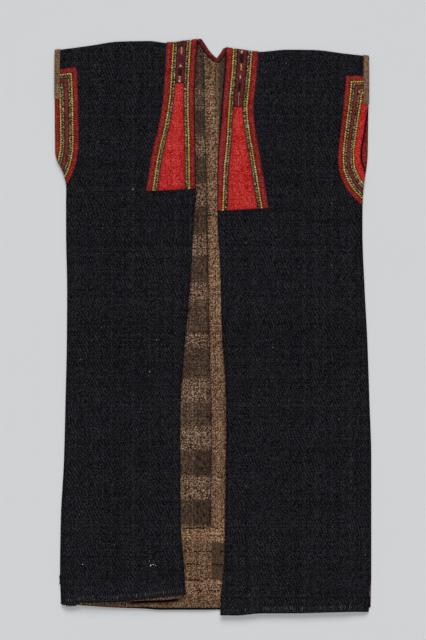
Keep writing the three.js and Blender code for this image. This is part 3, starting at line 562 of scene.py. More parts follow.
# %% Heights of the layers, in millimetres
DARK_CLOTH = 1.5
LINING_CLOTH = 1.0
WOOL = 1.1
SEAM_GAP = 0.3
BACK_LINING_Z = DARK_CLOTH + SEAM_GAP
FACING_Z = BACK_LINING_Z + LINING_CLOTH + SEAM_GAP
FACING_STEP = LINING_CLOTH + SEAM_GAP
FRONT_TOP_Z = FACING_Z + LINING_CLOTH + SEAM_GAP + DARK_CLOTH
SIDE_SEAM_TOP_Z = DARK_CLOTH + SEAM_GAP + DARK_CLOTH
ROLL_RADIUS = FRONT_TOP_Z / 2
SHOULDER_SEAM = 3.0
FACING_TOP_Y = -380.0
REST_LOFT = 2.4
print("fronts lie", FRONT_TOP_Z, "mm above the floor")

# %% Notes of the folds: from x, y to x, y, half-width, rise
FOLDS = {
    "left": [
        (-168, 510, -224, 458, 15, -1.9), (-138, 478, -104, 498, 13, -1.6), (-150, 392, -128, 446, 16, 1.8),
        (-228, 420, -238, 350, 13, -1.5), (-106, 190, -190, 72, 17, -2.3), (-140, 222, -232, 92, 20, 2.6),
        (-198, 52, -234, -34, 15, -2.0), (-178, -86, -216, -184, 18, -2.1), (-140, -70, -176, -190, 22, 2.2),
        (-130, -300, -196, -330, 26, 1.6), (-262, -458, -236, -482, 13, -1.8),
        (-228, -488, -96, -482, 11, -2.2), (-138, -512, -80, -506, 24, 5.5),
        (-262, -520, -180, -516, 14, 1.6),
    ],
    "right": [
        (156, 500, 108, 458, 14, -2.0), (186, 470, 140, 420, 20, 1.8), (126, 266, 262, 226, 14, -2.0),
        (150, 306, 226, 262, 17, 1.9), (170, 226, 264, 196, 16, 2.2), (136, 166, 232, 70, 16, -1.9),
        (96, 120, 170, 20, 20, 1.7), (222, -130, 202, -245, 22, -1.8), (170, -110, 150, -260, 26, 1.8),
        (60, -120, 48, -215, 20, -1.4), (226, -470, 200, -420, 20, 1.6), (100, -530, 268, -512, 11, -2.2),
        (120, -505, 250, -490, 14, 1.6),
    ],
}
print(sum(len(rows) for rows in FOLDS.values()), "folds")

# %% Helpers for heights


def ease(start, end, at):
    """0 before start, 1 after end, and a smooth step between them."""
    share = np.clip((at - start) / (end - start), 0, 1)
    return share**2 * (3 - 2 * share)


def level(y):
    """A line at one y, as a function of x."""
    return lambda x: y + 0 * x


def unit(rows):
    """Vectors made 1 long."""
    return rows / np.linalg.norm(rows, axis=-1, keepdims=True)


def normal_of(place, x, v, step):
    """A surface's outward direction: the cross product of small steps across and along it."""
    across, along = place(x + step, v) - place(x - step, v), place(x, v + step) - place(x, v - step)
    return unit(np.cross(across, along))


LIFT_UP, LIFT_ACROSS = (-480, -534), (25, -20)


def hem_lift(x, y):
    """How far all layers stand off the floor near the left half's hem."""
    return HEM_LIFT * ease(*LIFT_UP, y) * ease(*LIFT_ACROSS, x)


def far_from_line(fold, x, y):
    """Distance of each point from the straight line between a fold's two ends."""
    x0, y0, x1, y1 = fold[:4]
    dx, dy = x1 - x0, y1 - y0
    share = np.clip(((x - x0) * dx + (y - y0) * dy) / (dx**2 + dy**2), 0, 1)
    return np.hypot(x - x0 - share * dx, y - y0 - share * dy)


def ripples(x, y, seed, shortest, longest, count=18):
    """Crumpling, about -1 to 1: the sum of sine waves of random direction, phase and length."""
    draw = np.random.default_rng(seed)
    heading, phase = draw.uniform(0, np.pi, count), draw.uniform(0, 2 * np.pi, count)
    length = draw.uniform(shortest, longest, count)
    turns = (x[..., None] * np.cos(heading) + y[..., None] * np.sin(heading)) / length
    return np.sin(2 * np.pi * turns + phase).sum(-1) / np.sqrt(2 * count)


print("half way from 0 to 10, ease gives", ease(0, 10, 5))

# %% Where a front lies pressed: the spans over which its loft comes back, in millimetres
SEWN_ENDS = (-12, 24)
FACING_ENDS = (8, 45)
PRESSED_AT_OPEN_EDGE = (75, 120)
PRESSED_AT_SEAM = (12, 60)
PRESSED_AT_SHOULDER = (12, 60)
SMOOTH_AT_SIDE = (4, 30)
SEAM_CURL = (0, 8)
CRUMPLE = 0.3
CRUMPLE_LENGTHS = (22, 95)
NORMAL_STEP = 0.3
print("sides are pressed over", PRESSED_AT_SEAM[1], "mm where they are sewn")

# %% One front of the robe


class Front:
    """One front: its edges as functions of y, its shoulder and hem as functions of x, all in millimetres.

    inward is the direction along x from the side edge towards the opening.
    """

    def __init__(self, name, inward, underarm, collar_foot, tape_foot, binding_foot, seed):
        self.name, self.inward, self.underarm = name, inward, underarm
        self.foot_outer, self.foot_inner = collar_foot
        self.tape_foot, self.binding_foot, self.seed = tape_foot, binding_foot, seed
        self.shoulder, self.hem, self.opening = SHOULDER[name], HEM[name], OPENING[name]
        self.surface = (self.face, self.normal)

    def from_seam(self, distance):
        """x at a distance inwards from the back's own side edge."""
        return lambda y: SIDES[self.name](y) + self.inward * distance

    def side(self, y):
        """The side edge, which bows inwards at the right armhole and stands back at the slit."""
        return SIDES[self.name](y) + self.inward * (ARMHOLE_BOW[self.name](y) + SLITS[self.name](y))

    def from_side(self, distance):
        """x at a distance inwards from the front's side edge."""
        return lambda y: self.side(y) + self.inward * distance

    def from_opening(self, distance):
        """x at a distance from the opening, away from it."""
        return lambda y: self.opening(y) - self.inward * distance

    def bare_edge(self, y):
        """Where the collar's inner edging ends, short of the cloth's own edge."""
        return self.opening(y) - self.inward * BARE_EDGE[self.name](y)

    def from_collar(self, distance):
        """x at a distance inwards from the collar's outer edge."""
        return lambda y: COLLAR_OUTER[self.name](y) + self.inward * distance

    def from_inner_edge(self, distance):
        """x at a distance beyond the collar's inner edging, away from the opening."""
        return lambda y: self.opening(y) - self.inward * (COLLAR_INNER_EDGE[self.name](y) + distance)

    def collar_foot(self, x):
        """The collar's lower edge, a straight line from its outer foot to its inner foot."""
        outer, inner = COLLAR_OUTER[self.name](self.foot_outer), self.opening(self.foot_inner)
        return self.foot_outer + (self.foot_inner - self.foot_outer) * (x - outer) / (inner - outer)

    def roll_start(self, x):
        """y where the cloth leaves the flat and begins to roll over the shoulder."""
        return self.shoulder(x) - ROLL_RADIUS

    def height(self, x, y):
        """Height of the outer face: the layers below, plus loft with folds and crumpling, less the seam's
        curl."""
        from_side = np.abs(x - self.side(y))
        sewn = 1 - ease(*SEWN_ENDS, y - self.underarm)
        lying = FRONT_TOP_Z + FACING_STEP * (1 - ease(*FACING_ENDS, y - FACING_TOP_Y))
        pressed = [edge + (seam - edge) * sewn for edge, seam in zip(PRESSED_AT_OPEN_EDGE, PRESSED_AT_SEAM)]
        clear_of_shoulder = ease(*PRESSED_AT_SHOULDER, self.shoulder(x) - y)
        folds = REST_LOFT
        for fold in FOLDS[self.name]:
            folds = folds + fold[5] * np.exp(-((far_from_line(fold, x, y) / fold[4]) ** 2))
        loft = np.maximum(0, folds) * ease(*pressed, from_side)
        crumple = CRUMPLE * (1 + ripples(x, y, self.seed, *CRUMPLE_LENGTHS))
        loft = (loft + np.maximum(0, crumple) * ease(*SMOOTH_AT_SIDE, from_side)) * clear_of_shoulder
        curl = sewn * (lying - SIDE_SEAM_TOP_Z) * (1 - ease(*SEAM_CURL, from_side))
        return lying + loft - curl + hem_lift(x, y)

    def face(self, x, v):
        """A point of the outer face. v is y as far as the shoulder's roll, then the distance along a half
        circle, and behind it along the table to the seam with the back."""
        start = self.roll_start(x)
        angle = np.clip((v - start) / ROLL_RADIUS, 0, np.pi)
        tail = np.maximum(v - start - np.pi * ROLL_RADIUS, 0)
        before = np.minimum(v, start)
        y = before + ROLL_RADIUS * np.sin(angle) - tail
        z = np.where(v <= start, self.height(x, before), ROLL_RADIUS * (1 + np.cos(angle)))
        return np.stack([x + 0 * v, y, z], -1)

    def normal(self, x, v):
        """The face's outward direction."""
        return normal_of(self.face, x, v, NORMAL_STEP)


left = Front("left", 1, 264, (256.3, 261.3), 462, 431, seed=4)
right = Front("right", -1, 232, (225, 218.5), 417, 421, seed=9)
print("loft of the left front", round(float(left.height(np.array(-150.0), np.array(0.0))), 2), "mm")

# %% [markdown]
# ## A piece of cloth as a closed wall
#
# Cloth has thickness, and its cut edges are soft. A Solidify modifier would give square edges and the same
# number of points everywhere. Here the grid's middle is moved out and in along its normals, by less and less
# near the rim, where both sides meet in shared points. That gives a closed mesh with a round edge.

# %% From grids to objects


def put_mesh(name, points, faces, finish, uv=None, **kept):
    """A smooth mesh at the origin, from points in millimetres. kept are numbers or colours for each
    point."""
    mesh = bpy.data.meshes.new(name)
    mesh.from_pydata((points * MM).tolist(), [], faces)
    mesh.polygons.foreach_set("use_smooth", np.ones(len(mesh.polygons), bool))
    if uv is not None:
        corners = np.empty(len(mesh.loops), np.int32)
        mesh.loops.foreach_get("vertex_index", corners)
        mesh.uv_layers.new(name="cloth").data.foreach_set("uv", (uv * MM)[corners].ravel())
    for key, values in kept.items():
        if values.ndim == 2:
            colours = mesh.color_attributes.new(name=key, type="FLOAT_COLOR", domain="POINT")
            colours.data.foreach_set("color", values.ravel())
        else:
            mesh.attributes.new(name=key, type="FLOAT", domain="POINT").data.foreach_set("value", values)
    mesh.materials.append(finish)
    piece = bpy.data.objects.new(name, mesh)
    bpy.context.scene.collection.objects.link(piece)
    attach(piece, "root")
    return piece


def rim_shares(width, thick, count):
    """Shares from 0 to 1 of a width: evenly spaced, with three close steps at each end for the round
    edge."""
    near = np.array([0, 0.13, 0.5, 1.0]) * thick / 2 / width
    return np.concatenate([near, np.linspace(near[-1], 1 - near[-1], count + 1)[1:-1], 1 - near[::-1]])


def roundness(share, width, thick):
    """Height of a round edge, 0 on the rim and 1 inside: the circle's height at that distance from it."""
    depth = np.minimum(np.minimum(share, 1 - share) * width / (thick / 2), 1)
    return np.sqrt(1 - (1 - depth) ** 2)


def wall(middle, normal, half):
    """Points and faces of the closed wall around a grid whose half thickness is 0 on its rim."""
    rows, columns = half.shape
    outer = np.arange(rows * columns).reshape(rows, columns)
    inner = outer.copy()
    inner[1:-1, 1:-1] = rows * columns + np.arange((rows - 2) * (columns - 2)).reshape(rows - 2, columns - 2)
    moved = normal * half[..., None]
    points = np.concatenate([(middle + moved).reshape(-1, 3), (middle - moved)[1:-1, 1:-1].reshape(-1, 3)])
    across, along = middle[:-1, 1:] - middle[:-1, :-1], middle[1:, :-1] - middle[:-1, :-1]
    turned = (np.cross(across, along) * normal[:-1, :-1]).sum() < 0

    def quads(index, reverse):
        ring = [index[:-1, :-1], index[:-1, 1:], index[1:, 1:], index[1:, :-1]]
        return np.stack(ring[::-1] if reverse else ring, -1).reshape(-1, 4)

    return points, np.concatenate([quads(outer, turned), quads(inner, not turned)]).tolist()


def both_sides(grid):
    """Values of a grid in the order of the wall's points."""
    tail = grid.shape[2:]
    return np.concatenate([grid.reshape(-1, *tail), grid[1:-1, 1:-1].reshape(-1, *tail)])


def flat_area(x, v):
    """Area of the cut piece in square metres: the sum of its grid cells' areas in the plane of the cloth."""
    dx1, dv1 = x[1:, 1:] - x[:-1, :-1], v[1:, 1:] - v[:-1, :-1]
    dx2, dv2 = x[1:, :-1] - x[:-1, 1:], v[1:, :-1] - v[:-1, 1:]
    return float(np.abs(dx1 * dv2 - dx2 * dv1).sum() / 2 * MM**2)


faces_of_wall = wall(np.zeros((4, 5, 3)), np.ones((4, 5, 3)), np.zeros((4, 5)))[1]
print("a wall of 4 by 5 points has", len(faces_of_wall), "faces")

# %% Cut a strip and sew it on
CUTS = {}
NARROWEST_CUT = 0.01
# Cloth is darker near its cut edges, over EDGE_SHADE or a share of a narrow strip's width: wear, and painted
# shade where it meets the layer beside it
EDGE_SHADE = 2.2
NARROW_SHADE = 1 / 7
SETTLING_TURNS = 7


def cut_strip(edges, lines, thick, columns, rows):
    """x, v, edge roundness and closeness to an edge over a strip.

    x lies between two edges that are functions of v, and v between two lines that are functions of x. As
    each depends on the other, a few turns settle both.
    """
    x, v = np.zeros((1, 1)), np.zeros((1, 1))
    across, along = np.array([0.5]), np.array([0.5])
    for final in (False, True):
        s, t = np.meshgrid(across, along)
        v = v.mean() + 0 * s
        for _ in range(SETTLING_TURNS):
            a, b = [edge(v) for edge in edges]
            x = a + (b - a) * s
            low, high = [line(x) for line in lines]
            v = low + (high - low) * t
        if not final:
            width, length = float(abs(b - a).mean()), float(abs(high - low).mean())
            across, along = rim_shares(width, thick, columns), rim_shares(length, thick, rows)
    rim = roundness(s, width, thick) * roundness(t, length, thick)
    near = np.minimum(np.minimum(s, 1 - s) * width, np.minimum(t, 1 - t) * length)
    return x, v, rim, np.exp(-near / min(EDGE_SHADE, width * NARROW_SHADE))


def declare(piece, node, flat, area):
    """Hides the solid that a piece of cloth stands for, and notes and prints how it was cut."""
    flat = (max(flat[0], NARROWEST_CUT), flat[1])
    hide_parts(node)
    area = min(area, flat[0] * flat[1])
    CUTS[piece.name] = (round(flat[0], 3), round(flat[1], 3), round(area, 4))
    print(piece.name, CUTS[piece.name])


def sew(name, node, finish, slot, grids, surface, lift, thick, held, rests_on, flat=None, pieces=(), **kept):
    """Makes a piece of cloth with its finish from its grids, hides the node it stands for, and notes its cut.

    surface is two functions, place and normal. The cloth's lower side lies `lift` outside it.
    """
    x, v, rim, near = grids
    place, normal = surface
    out = normal(x, v)
    points, faces = wall(place(x, v) + out * (lift + thick / 2), out, rim * thick / 2)
    uv = both_sides(np.stack([x, v], -1))
    kept = {key: both_sides(values) for key, values in kept.items()}
    piece = put_mesh(name, points, faces, finish, uv, edge=both_sides(near), **kept)
    if flat is None:
        widest = np.abs(x[:, -1] - x[:, 0]).max()
        longest = np.hypot(np.diff(x, axis=0), np.diff(v, axis=0)).sum(0).max()
        flat = (float(widest) * MM, float(longest) * MM)
    declare(piece, node, flat, flat_area(x, v))
    return piece


def table_top(z):
    """place and normal of a flat layer at a height, which lifts with the left half's hem."""

    def place(x, v):
        return np.stack([x, v, z + hem_lift(x, v)], -1)

    def normal(x, v):
        return np.stack([0 * x, 0 * x, 1 + 0 * x], -1)

    return place, normal


print("ready to cut and sew")

# %% [markdown]
# ## The back and its linings
#
# The back is one width of dark cloth. Its inside is lined with two breadths of brown cloth, sewn together
# down the middle. The left breadth is checked, the right one plain, and a facing is turned up along the hem.
# All of them lie flat, so each is a cut strip whose upper edge follows the shoulders and the V of the neck.

# %% Back panel
NECK_SPAN = (-28.3, 23.8)
NECK_MARGIN = 1.6


def back_top(stop):
    """The top edge of a layer of the back, at each x: along the shoulder seams, and in the V of the neck."""
    seam = ROLL_RADIUS + SHOULDER_SEAM + SEAM_GAP + stop

    def top(x):
        on_left, on_right = SHOULDER["left"](x) - seam, SHOULDER["right"](x) - seam
        in_neck = np.interp(x, NECK_LINE[:, 0], NECK_LINE[:, 1]) - NECK_MARGIN
        return np.where(x < NECK_SPAN[0], on_left, np.where(x > NECK_SPAN[1], on_right, in_neck))

    return top


def back_strip(edges, hem, stop, thick, columns, rows):
    """Grids of a layer of the back between two edges, from above the hem to short of the shoulder seams."""
    return cut_strip(edges, (lambda x: HEM["back"](x) + hem, back_top(stop)), thick, columns, rows)


grids = back_strip((left.from_seam(0), right.from_seam(0)), 0, 0, DARK_CLOTH, columns=240, rows=160)
back = sew(
    "back_cloth", "back_panel", dark_homespun, "dark_cloth", grids, table_top(0.0), 0.0, DARK_CLOTH,
    "laid", [],
)

# %% [markdown]
# The lining's checks are woven, so their edges are straight and run with the threads. They show only in the
# opening, between the fronts. A short table notes how dark each check is there, and below and beside it the
# rhythm goes on. The darkness is kept at each point of the mesh, because a pattern in the material couldn't
# follow a weaver's own irregular count.

# %% Notes of the checks: from y, to y, from x, to x, darkness
CHECKS = [
    (600, 510, -300, -15.5, 0.6), (510, 452, -300, -15.5, 0.85), (452, 414, -300, -15.5, 0.5),
    (414, 364, -300, -15.5, 0.92), (364, 321, -300, 0, 0.12), (321, 271, -300, 0, 0.85),
    (271, 229, -300, 0, 0.2), (229, 176, -300, 0, 0.9), (176, 134, -300, 0, 0.16), (134, 83, -300, 0, 0.85),
    (83, 51, -300, 0, 0.2), (51, -12, -300, 0, 0.74), (-12, -40, -300, 0, 0.15), (-40, -99, -300, 0, 0.86),
    (-99, -143, -300, 0, 0.2), (-143, -189, -300, 0, 0.88), (-189, -234, -300, 0, 0.2),
    (-234, -283, -300, 0, 0.82), (-283, -330, -300, 0, 0.15), (-330, -376, -300, 0, 0.88),
    (-376, -600, -300, 0, 0.4), (-234, -283, -34, 0, 1.0), (-330, -376, -38, 0, 1.0),
    (-143, -189, -300, -32, 0.74),
]
FACING_CHECKS = [
    (-380, -409, -300, 300, 0.04), (-409, -480, -300, 300, 0.36), (-410, -480, -3, 60, 1.05),
    (-480, -513, -300, 300, 0.12), (-513, -560, -300, 300, 0.42),
]
# Plain lining: its lower part is darker, which is its own tone, and strips beside the right front's edge are
# darker, which is painted shade
PLAIN_TONES_AND_SHADE = [
    (-90, -376, -10, 60, 0.3), (560, 400, 3, 60, 0.6), (540, 352, 10.5, 60, 1.05), (-20, -376, 14, 60, 0.5),
]
STAIN = (-17, -358, 1.6, 2.6)
STAIN_DARKNESS = 2
SOFT_EDGE = 1.6
REST_OF_CHECKED, REST_OF_PLAIN, REST_OF_FACING = 0.4, 0.16, 0.3


def stain(x, y, centre_x, centre_y, half_width, half_height):
    """1 in the middle of a stain and 0 well outside it: a bell curve both ways."""
    return np.exp(-(((x - centre_x) / half_width) ** 2) - ((y - centre_y) / half_height) ** 2)


def darkness(grids, table, rest):
    """How dark the cloth is at each point: later rows of the table cover earlier ones, with soft edges."""
    x, y = grids[:2]
    shade = np.full(x.shape, float(rest))
    for top, bottom, x0, x1, dark in table:
        inside = ease(bottom - SOFT_EDGE, bottom + SOFT_EDGE, y) - ease(top - SOFT_EDGE, top + SOFT_EDGE, y)
        inside = inside * (ease(x0 - SOFT_EDGE, x0 + SOFT_EDGE, x) - ease(x1 - SOFT_EDGE, x1 + SOFT_EDGE, x))
        shade = shade + (dark - shade) * inside
    return shade


print(len(CHECKS), "checks in the opening")

# %% Back linings
BREADTH_GAP = 0.4
LINING_INSET, LINING_HEM, LINING_STOP = 12, 6, 5
FREE_BESIDE, FREE_FOOT, FREE_HEAD = (0, 14), (-560, -440), (440, 520)
BUCKLE_LENGTHS = (18, 60)
BUCKLE_STEP = 0.4


def buckled(z, high, seed):
    """place and normal of a lining that buckles by up to `high` in the opening, where nothing presses on
    it."""

    def place(x, v):
        free = ease(*FREE_BESIDE, x - OPENING["left"](v)) * ease(*FREE_BESIDE, OPENING["right"](v) - x)
        free = free * ease(*FREE_FOOT, v) * (1 - ease(*FREE_HEAD, v))
        lift = high * free * (0.5 + 0.5 * ripples(x, v, seed, *BUCKLE_LENGTHS))
        return np.stack([x + 0 * v, v + 0 * x, z + np.clip(lift, 0, high) + hem_lift(x, v)], -1)

    return place, (lambda x, v: normal_of(place, x, v, BUCKLE_STEP))


def sew_lining(name, node, finish, slot, edges, table, rest, spots=()):
    """One breadth of the back's lining, between two edges, with its checks and spots."""
    grids = back_strip(edges, LINING_HEM, LINING_STOP, LINING_CLOTH, columns=120, rows=330)
    check = darkness(grids, table, rest)
    for spot in spots:
        check = check + STAIN_DARKNESS * stain(*grids[:2], *spot)
    return sew(
        name, node, finish, slot, grids, lining_surface, 0.0, LINING_CLOTH, "laid", [back], check=check,
    )


lining_surface = buckled(BACK_LINING_Z, 0.9, seed=21)
lining_left = sew_lining(
    "back_lining_checked", "back_lining_left", lining_checked, "checked_lining",
    (left.from_seam(LINING_INSET), lambda y: LINING_SEAM(y) - BREADTH_GAP), CHECKS, REST_OF_CHECKED, [STAIN],
)
lining_right = sew_lining(
    "back_lining_plain", "back_lining_right", lining_plain, "brown_lining",
    (lambda y: LINING_SEAM(y) + BREADTH_GAP, right.from_seam(LINING_INSET)), PLAIN_TONES_AND_SHADE, REST_OF_PLAIN,
)

# %% Facing turned up along the hem, with a painted shadow below the lifted left hem
FACING_SIDE_INSET = 13
HEM_SHADOW_HALF_HEIGHT, HEM_SHADOW_DARKNESS = 3.2, 1.8
HEM_SHADOW_FROM, HEM_SHADOW_TO = (-165, -150), (-60, -70)

facing_surface = buckled(FACING_Z, 0.8, seed=22)
grids = cut_strip(
    (left.from_seam(FACING_SIDE_INSET), right.from_seam(FACING_SIDE_INSET)),
    (lambda x: HEM["back"](x) + FACING_INSET(x), level(FACING_TOP_Y)), LINING_CLOTH, columns=260, rows=110,
)
x, y = grids[:2]
# Painted shadow: the facing is darkened in a band below the lifted left hem, where the hem shades it
off_hem_shadow = (y - HEM["left"](x) + HEM_SHADOW_DROP(x)) / HEM_SHADOW_HALF_HEIGHT
hem_shadow = np.exp(-off_hem_shadow**2) * ease(*HEM_SHADOW_FROM, x) * ease(*HEM_SHADOW_TO, x)
facing = sew(
    "hem_facing_cloth", "back_hem_facing", lining_plain, "brown_lining", grids, facing_surface, 0.0,
    LINING_CLOTH, "laid", [lining_left, lining_right],
    check=darkness(grids, FACING_CHECKS, REST_OF_FACING) + HEM_SHADOW_DARKNESS * hem_shadow,
)

# %% [markdown]
# ## The fronts
#
# Each front is one length of dark cloth that runs from the hem over the shoulder to the seam behind it. The
# grid is fine enough for the crumpling, about 3 mm a cell. Its lining is the same surface moved in.

# %% Fronts and their linings
LINING_FROM_SIDE, LINING_FROM_OPENING, LINING_BELOW_ROLL = 8, 2, 5
LINING_CHECK = 0.3


def shoulder_end(front, angle, tail=0.0):
    """v on a front where the roll has turned by an angle in degrees."""
    return lambda x: front.roll_start(x) + ROLL_RADIUS * np.radians(angle) + tail


front_cloth = {}
for front in (left, right):
    edges = (front.from_side(0), front.from_opening(0))
    lines = (front.hem, shoulder_end(front, 180, SHOULDER_SEAM))
    front_cloth[front.name] = sew(
        "front_cloth_" + front.name, "front_" + front.name, dark_homespun, "dark_cloth",
        cut_strip(edges, lines, DARK_CLOTH, columns=96, rows=330), front.surface, -DARK_CLOTH, DARK_CLOTH,
        "folded", [lining_left if front is left else lining_right],
    )
    edges = (front.from_side(LINING_FROM_SIDE), front.from_opening(LINING_FROM_OPENING))
    hem, top = LINING_SHOWS[front.name], front.roll_start
    lines = (lambda x: front.hem(x) - hem(x), lambda x: top(x) - LINING_BELOW_ROLL)
    grids = cut_strip(edges, lines, LINING_CLOTH, columns=60, rows=200)
    sew(
        "front_lining_cloth_" + front.name, "front_lining_" + front.name, lining_plain, "brown_lining", grids,
        front.surface, -DARK_CLOTH - SEAM_GAP - LINING_CLOTH, LINING_CLOTH, "laid", [facing],
        check=LINING_CHECK + 0 * grids[0],
    )

# %% [markdown]
# ## Bands of red wool on the collar
#
# On each front a tapering panel of scarlet wool runs up to the shoulder between two crimson edgings, and
# above the panel lies a patterned tape. Each is a strip between two of the front's own columns, laid on its
# surface. So the bands follow every fold of the cloth below, which shrink-wrapping loose strips would only
# come near.

# %% Collar bands
COLLAR_EDGE_WIDTH = 11.0
BRAID_WIDTH = 9.5
BRAID_END = COLLAR_EDGE_WIDTH + BRAID_WIDTH
BRAID_BASE = 0.6
SEWN_LIFT = 0.1
PANEL_GAP = 0.3
BANDS_END, BRAIDS_END = 96, 92


def sew_on(front, name, node, finish, slot, grids, thick, flat=None, pieces=()):
    """A strip sewn on a front, a hair above its face."""
    return sew(
        f"{name}_{front.name}", f"{node}_{front.name}", finish, slot, grids, front.surface, SEWN_LIFT, thick,
        "laid", [front_cloth[front.name]], flat, pieces,
    )


for front in (left, right):
    over = shoulder_end(front, BANDS_END)
    middle = (front.from_collar(BRAID_END), front.from_inner_edge(BRAID_WIDTH))
    for name, finish, slot, edges, lines, columns, rows in [
        (
            "collar_edge_outer", crimson_wool, "crimson_wool",
            (front.from_collar(0), front.from_collar(COLLAR_EDGE_WIDTH)), (front.collar_foot, over), 8, 150,
        ),
        (
            "collar_panel", scarlet_wool, "scarlet_wool", middle,
            (front.collar_foot, level(front.tape_foot - PANEL_GAP)), 34, 110,
        ),
        ("collar_tape", tape_wool, "crimson_wool", middle, (level(front.tape_foot), over), 16, 60),
        (
            "collar_edge_inner", crimson_wool, "crimson_wool", (front.from_inner_edge(0), front.bare_edge),
            (front.collar_foot, over), 8, 150,
        ),
    ]:
        sew_on(front, name + "_cloth", name, finish, slot, cut_strip(edges, lines, WOOL, columns, rows), WOOL)

# %% [markdown]
# ## Bands round the armholes
#
# Round each armhole lie nested bands: crimson, braid, crimson, braid, scarlet. Each follows the same line,
# moved towards the armhole. Along the top the bands are straight, and they turn the corner in a mitre.
# Moving the line's points along its normals, and cutting both parts where they cross, gives the mitre with
# no boolean.

# %% The armhole's line, moved sideways
BAND_NOTES = {
    "left": [(-258, 492.6), (-255.5, 429), (-254.5, 352), (-257, 322), (-265, 292), (-281, 262)],
    "right": [
        (252.5, 476), (247.6, 423), (241.6, 370), (237.5, 331), (238.3, 298), (246.3, 274.5), (259.2, 253.5),
        (285, 227.2),
    ],
}
BAND_TOP_SLOPE = {"left": -0.13, "right": 0.0}
BAND_STEPS = {"left": (0.0, 9.2, 18.8, 26.4, 36.2), "right": (0.0, 9.2, 18.2, 24.8, 34.2)}
BAND_PINCH = {
    "left": fair_curve([(500, 1), (200, 1)]),
    "right": fair_curve([
        (480, 1.02), (444, 1), (393, 0.93), (341, 0.89), (312, 0.92), (280, 0.95), (200, 0.95),
    ]),
}
EDGE_MARGIN = 0.4
STRAIGHT_ABOVE, STRAIGHT_BELOW = 30, 40
PAST_CORNER = 20


def travelled(path):
    """The distance walked at each point of a path."""
    return np.r_[0, np.cumsum(np.linalg.norm(np.diff(path, axis=0), axis=1))]


def points_at(at, marks, path):
    """Points of a path of (x, v) rows, between the points whose marks lie on both sides of each value."""
    return np.stack([np.interp(at, marks, path[:, k]) for k in (0, 1)], -1)


def smooth_path(points, steps):
    """A path through points: cubic between neighbours, headed at each along the line from the last to the
    next."""
    points = np.array(points, float)
    heading = np.gradient(points, axis=0)
    at = np.linspace(0, len(points) - 1, steps)
    i = np.minimum(at.astype(int), len(points) - 2)
    return cubic(points[i], points[i + 1], heading[i], heading[i + 1], (at - i)[:, None])


def band_curve(front, distance):
    """The bands' line beside the armhole, moved towards it, and carried on straight at both ends."""
    line = smooth_path(BAND_NOTES[front.name], 240)
    above = line[0] + unit(line[0] - line[4]) * STRAIGHT_ABOVE
    below = line[-1] + unit(line[-1] - line[-5]) * STRAIGHT_BELOW
    line = np.vstack([above, line, below])
    heading = unit(np.gradient(line, axis=0))
    pinched = distance * BAND_PINCH[front.name](line[:, 1])
    return line + np.stack([-heading[:, 1], heading[:, 0]], -1) * -front.inward * pinched[:, None]


def band_top(front, distance, x):
    """y of the bands' straight top, moved down by the distance."""
    corner_x, corner_y = BAND_NOTES[front.name][0]
    return corner_y - distance - front.inward * (x - corner_x) * BAND_TOP_SLOPE[front.name]


def band_path(front, distance, top_count=14, curve_count=90):
    """Points from the side edge along the top to the corner, and down the curve to the side edge."""
    curve = band_curve(front, distance)
    index = np.arange(len(curve))
    at_corner = np.interp(0, band_top(front, distance, curve[:, 0]) - curve[:, 1], index)
    inside = front.inward * (curve[:, 0] - front.side(curve[:, 1])) - EDGE_MARGIN
    first_out = index[(inside < 0) & (index > at_corner + PAST_CORNER)][0]
    at_end = first_out - 1 + inside[first_out - 1] / (inside[first_out - 1] - inside[first_out])
    down = points_at(np.linspace(at_corner, at_end, curve_count), index, curve)
    start_x = front.side(down[0, 1]) + front.inward * EDGE_MARGIN
    across = np.linspace(start_x, down[0, 0], top_count)[:-1]
    return np.vstack([np.stack([across, band_top(front, distance, across)], -1), down])


for front in (left, right):
    print(front.name, "armhole's bands are", round(float(travelled(band_path(front, 5.0))[-1])), "mm long")

# %% Armhole bands: name, finish, from step, to step
ARMHOLE_BANDS = [("armhole_edge", crimson_wool, 0, 1), ("armhole_middle", worn_crimson, 2, 3)]
LIP_FINISH = {"left": crimson_wool, "right": scarlet_wool}
# Bands round the armholes are darker near their edges, over RING_SHADE: wear, and painted shade where each
# meets the next band
RING_SHADE = 1.4
LIP_LEAST = 1.5
LIP_SEARCH_END, LIP_TOP_GUESS = 400, 450.0


def ring_grids(front, start, end, thick, columns=6):
    """x, v, edge roundness and closeness to an edge over a band between two distances from the bands'
    line."""
    share = rim_shares(end - start, thick, columns)
    grid = np.stack([band_path(front, start + (end - start) * s) for s in share], 1)
    ends = np.ones(grid.shape[0])
    ends[[0, -1]] = 0
    rim = ends[:, None] * roundness(share, end - start, thick)[None, :]
    near = np.exp(-np.minimum(share, 1 - share) * (end - start) / RING_SHADE)[None, :] + 0 * rim
    return grid[..., 0], grid[..., 1], rim, near


def sew_ring(front, name, node, finish, slot, start, end, thick, pieces=()):
    """A band round an armhole."""
    length = travelled(band_path(front, (start + end) / 2))[-1]
    flat = ((end - start) * MM, float(length) * MM)
    return sew_on(front, name, node, finish, slot, ring_grids(front, start, end, thick), thick, flat, pieces)


def armhole_lip_edge(front, distance):
    """x of the bands' line, moved by a distance, at each y."""
    curve = band_curve(front, distance)
    order = np.argsort(curve[:, 1])
    return lambda y: np.interp(y, curve[order, 1], curve[order, 0])


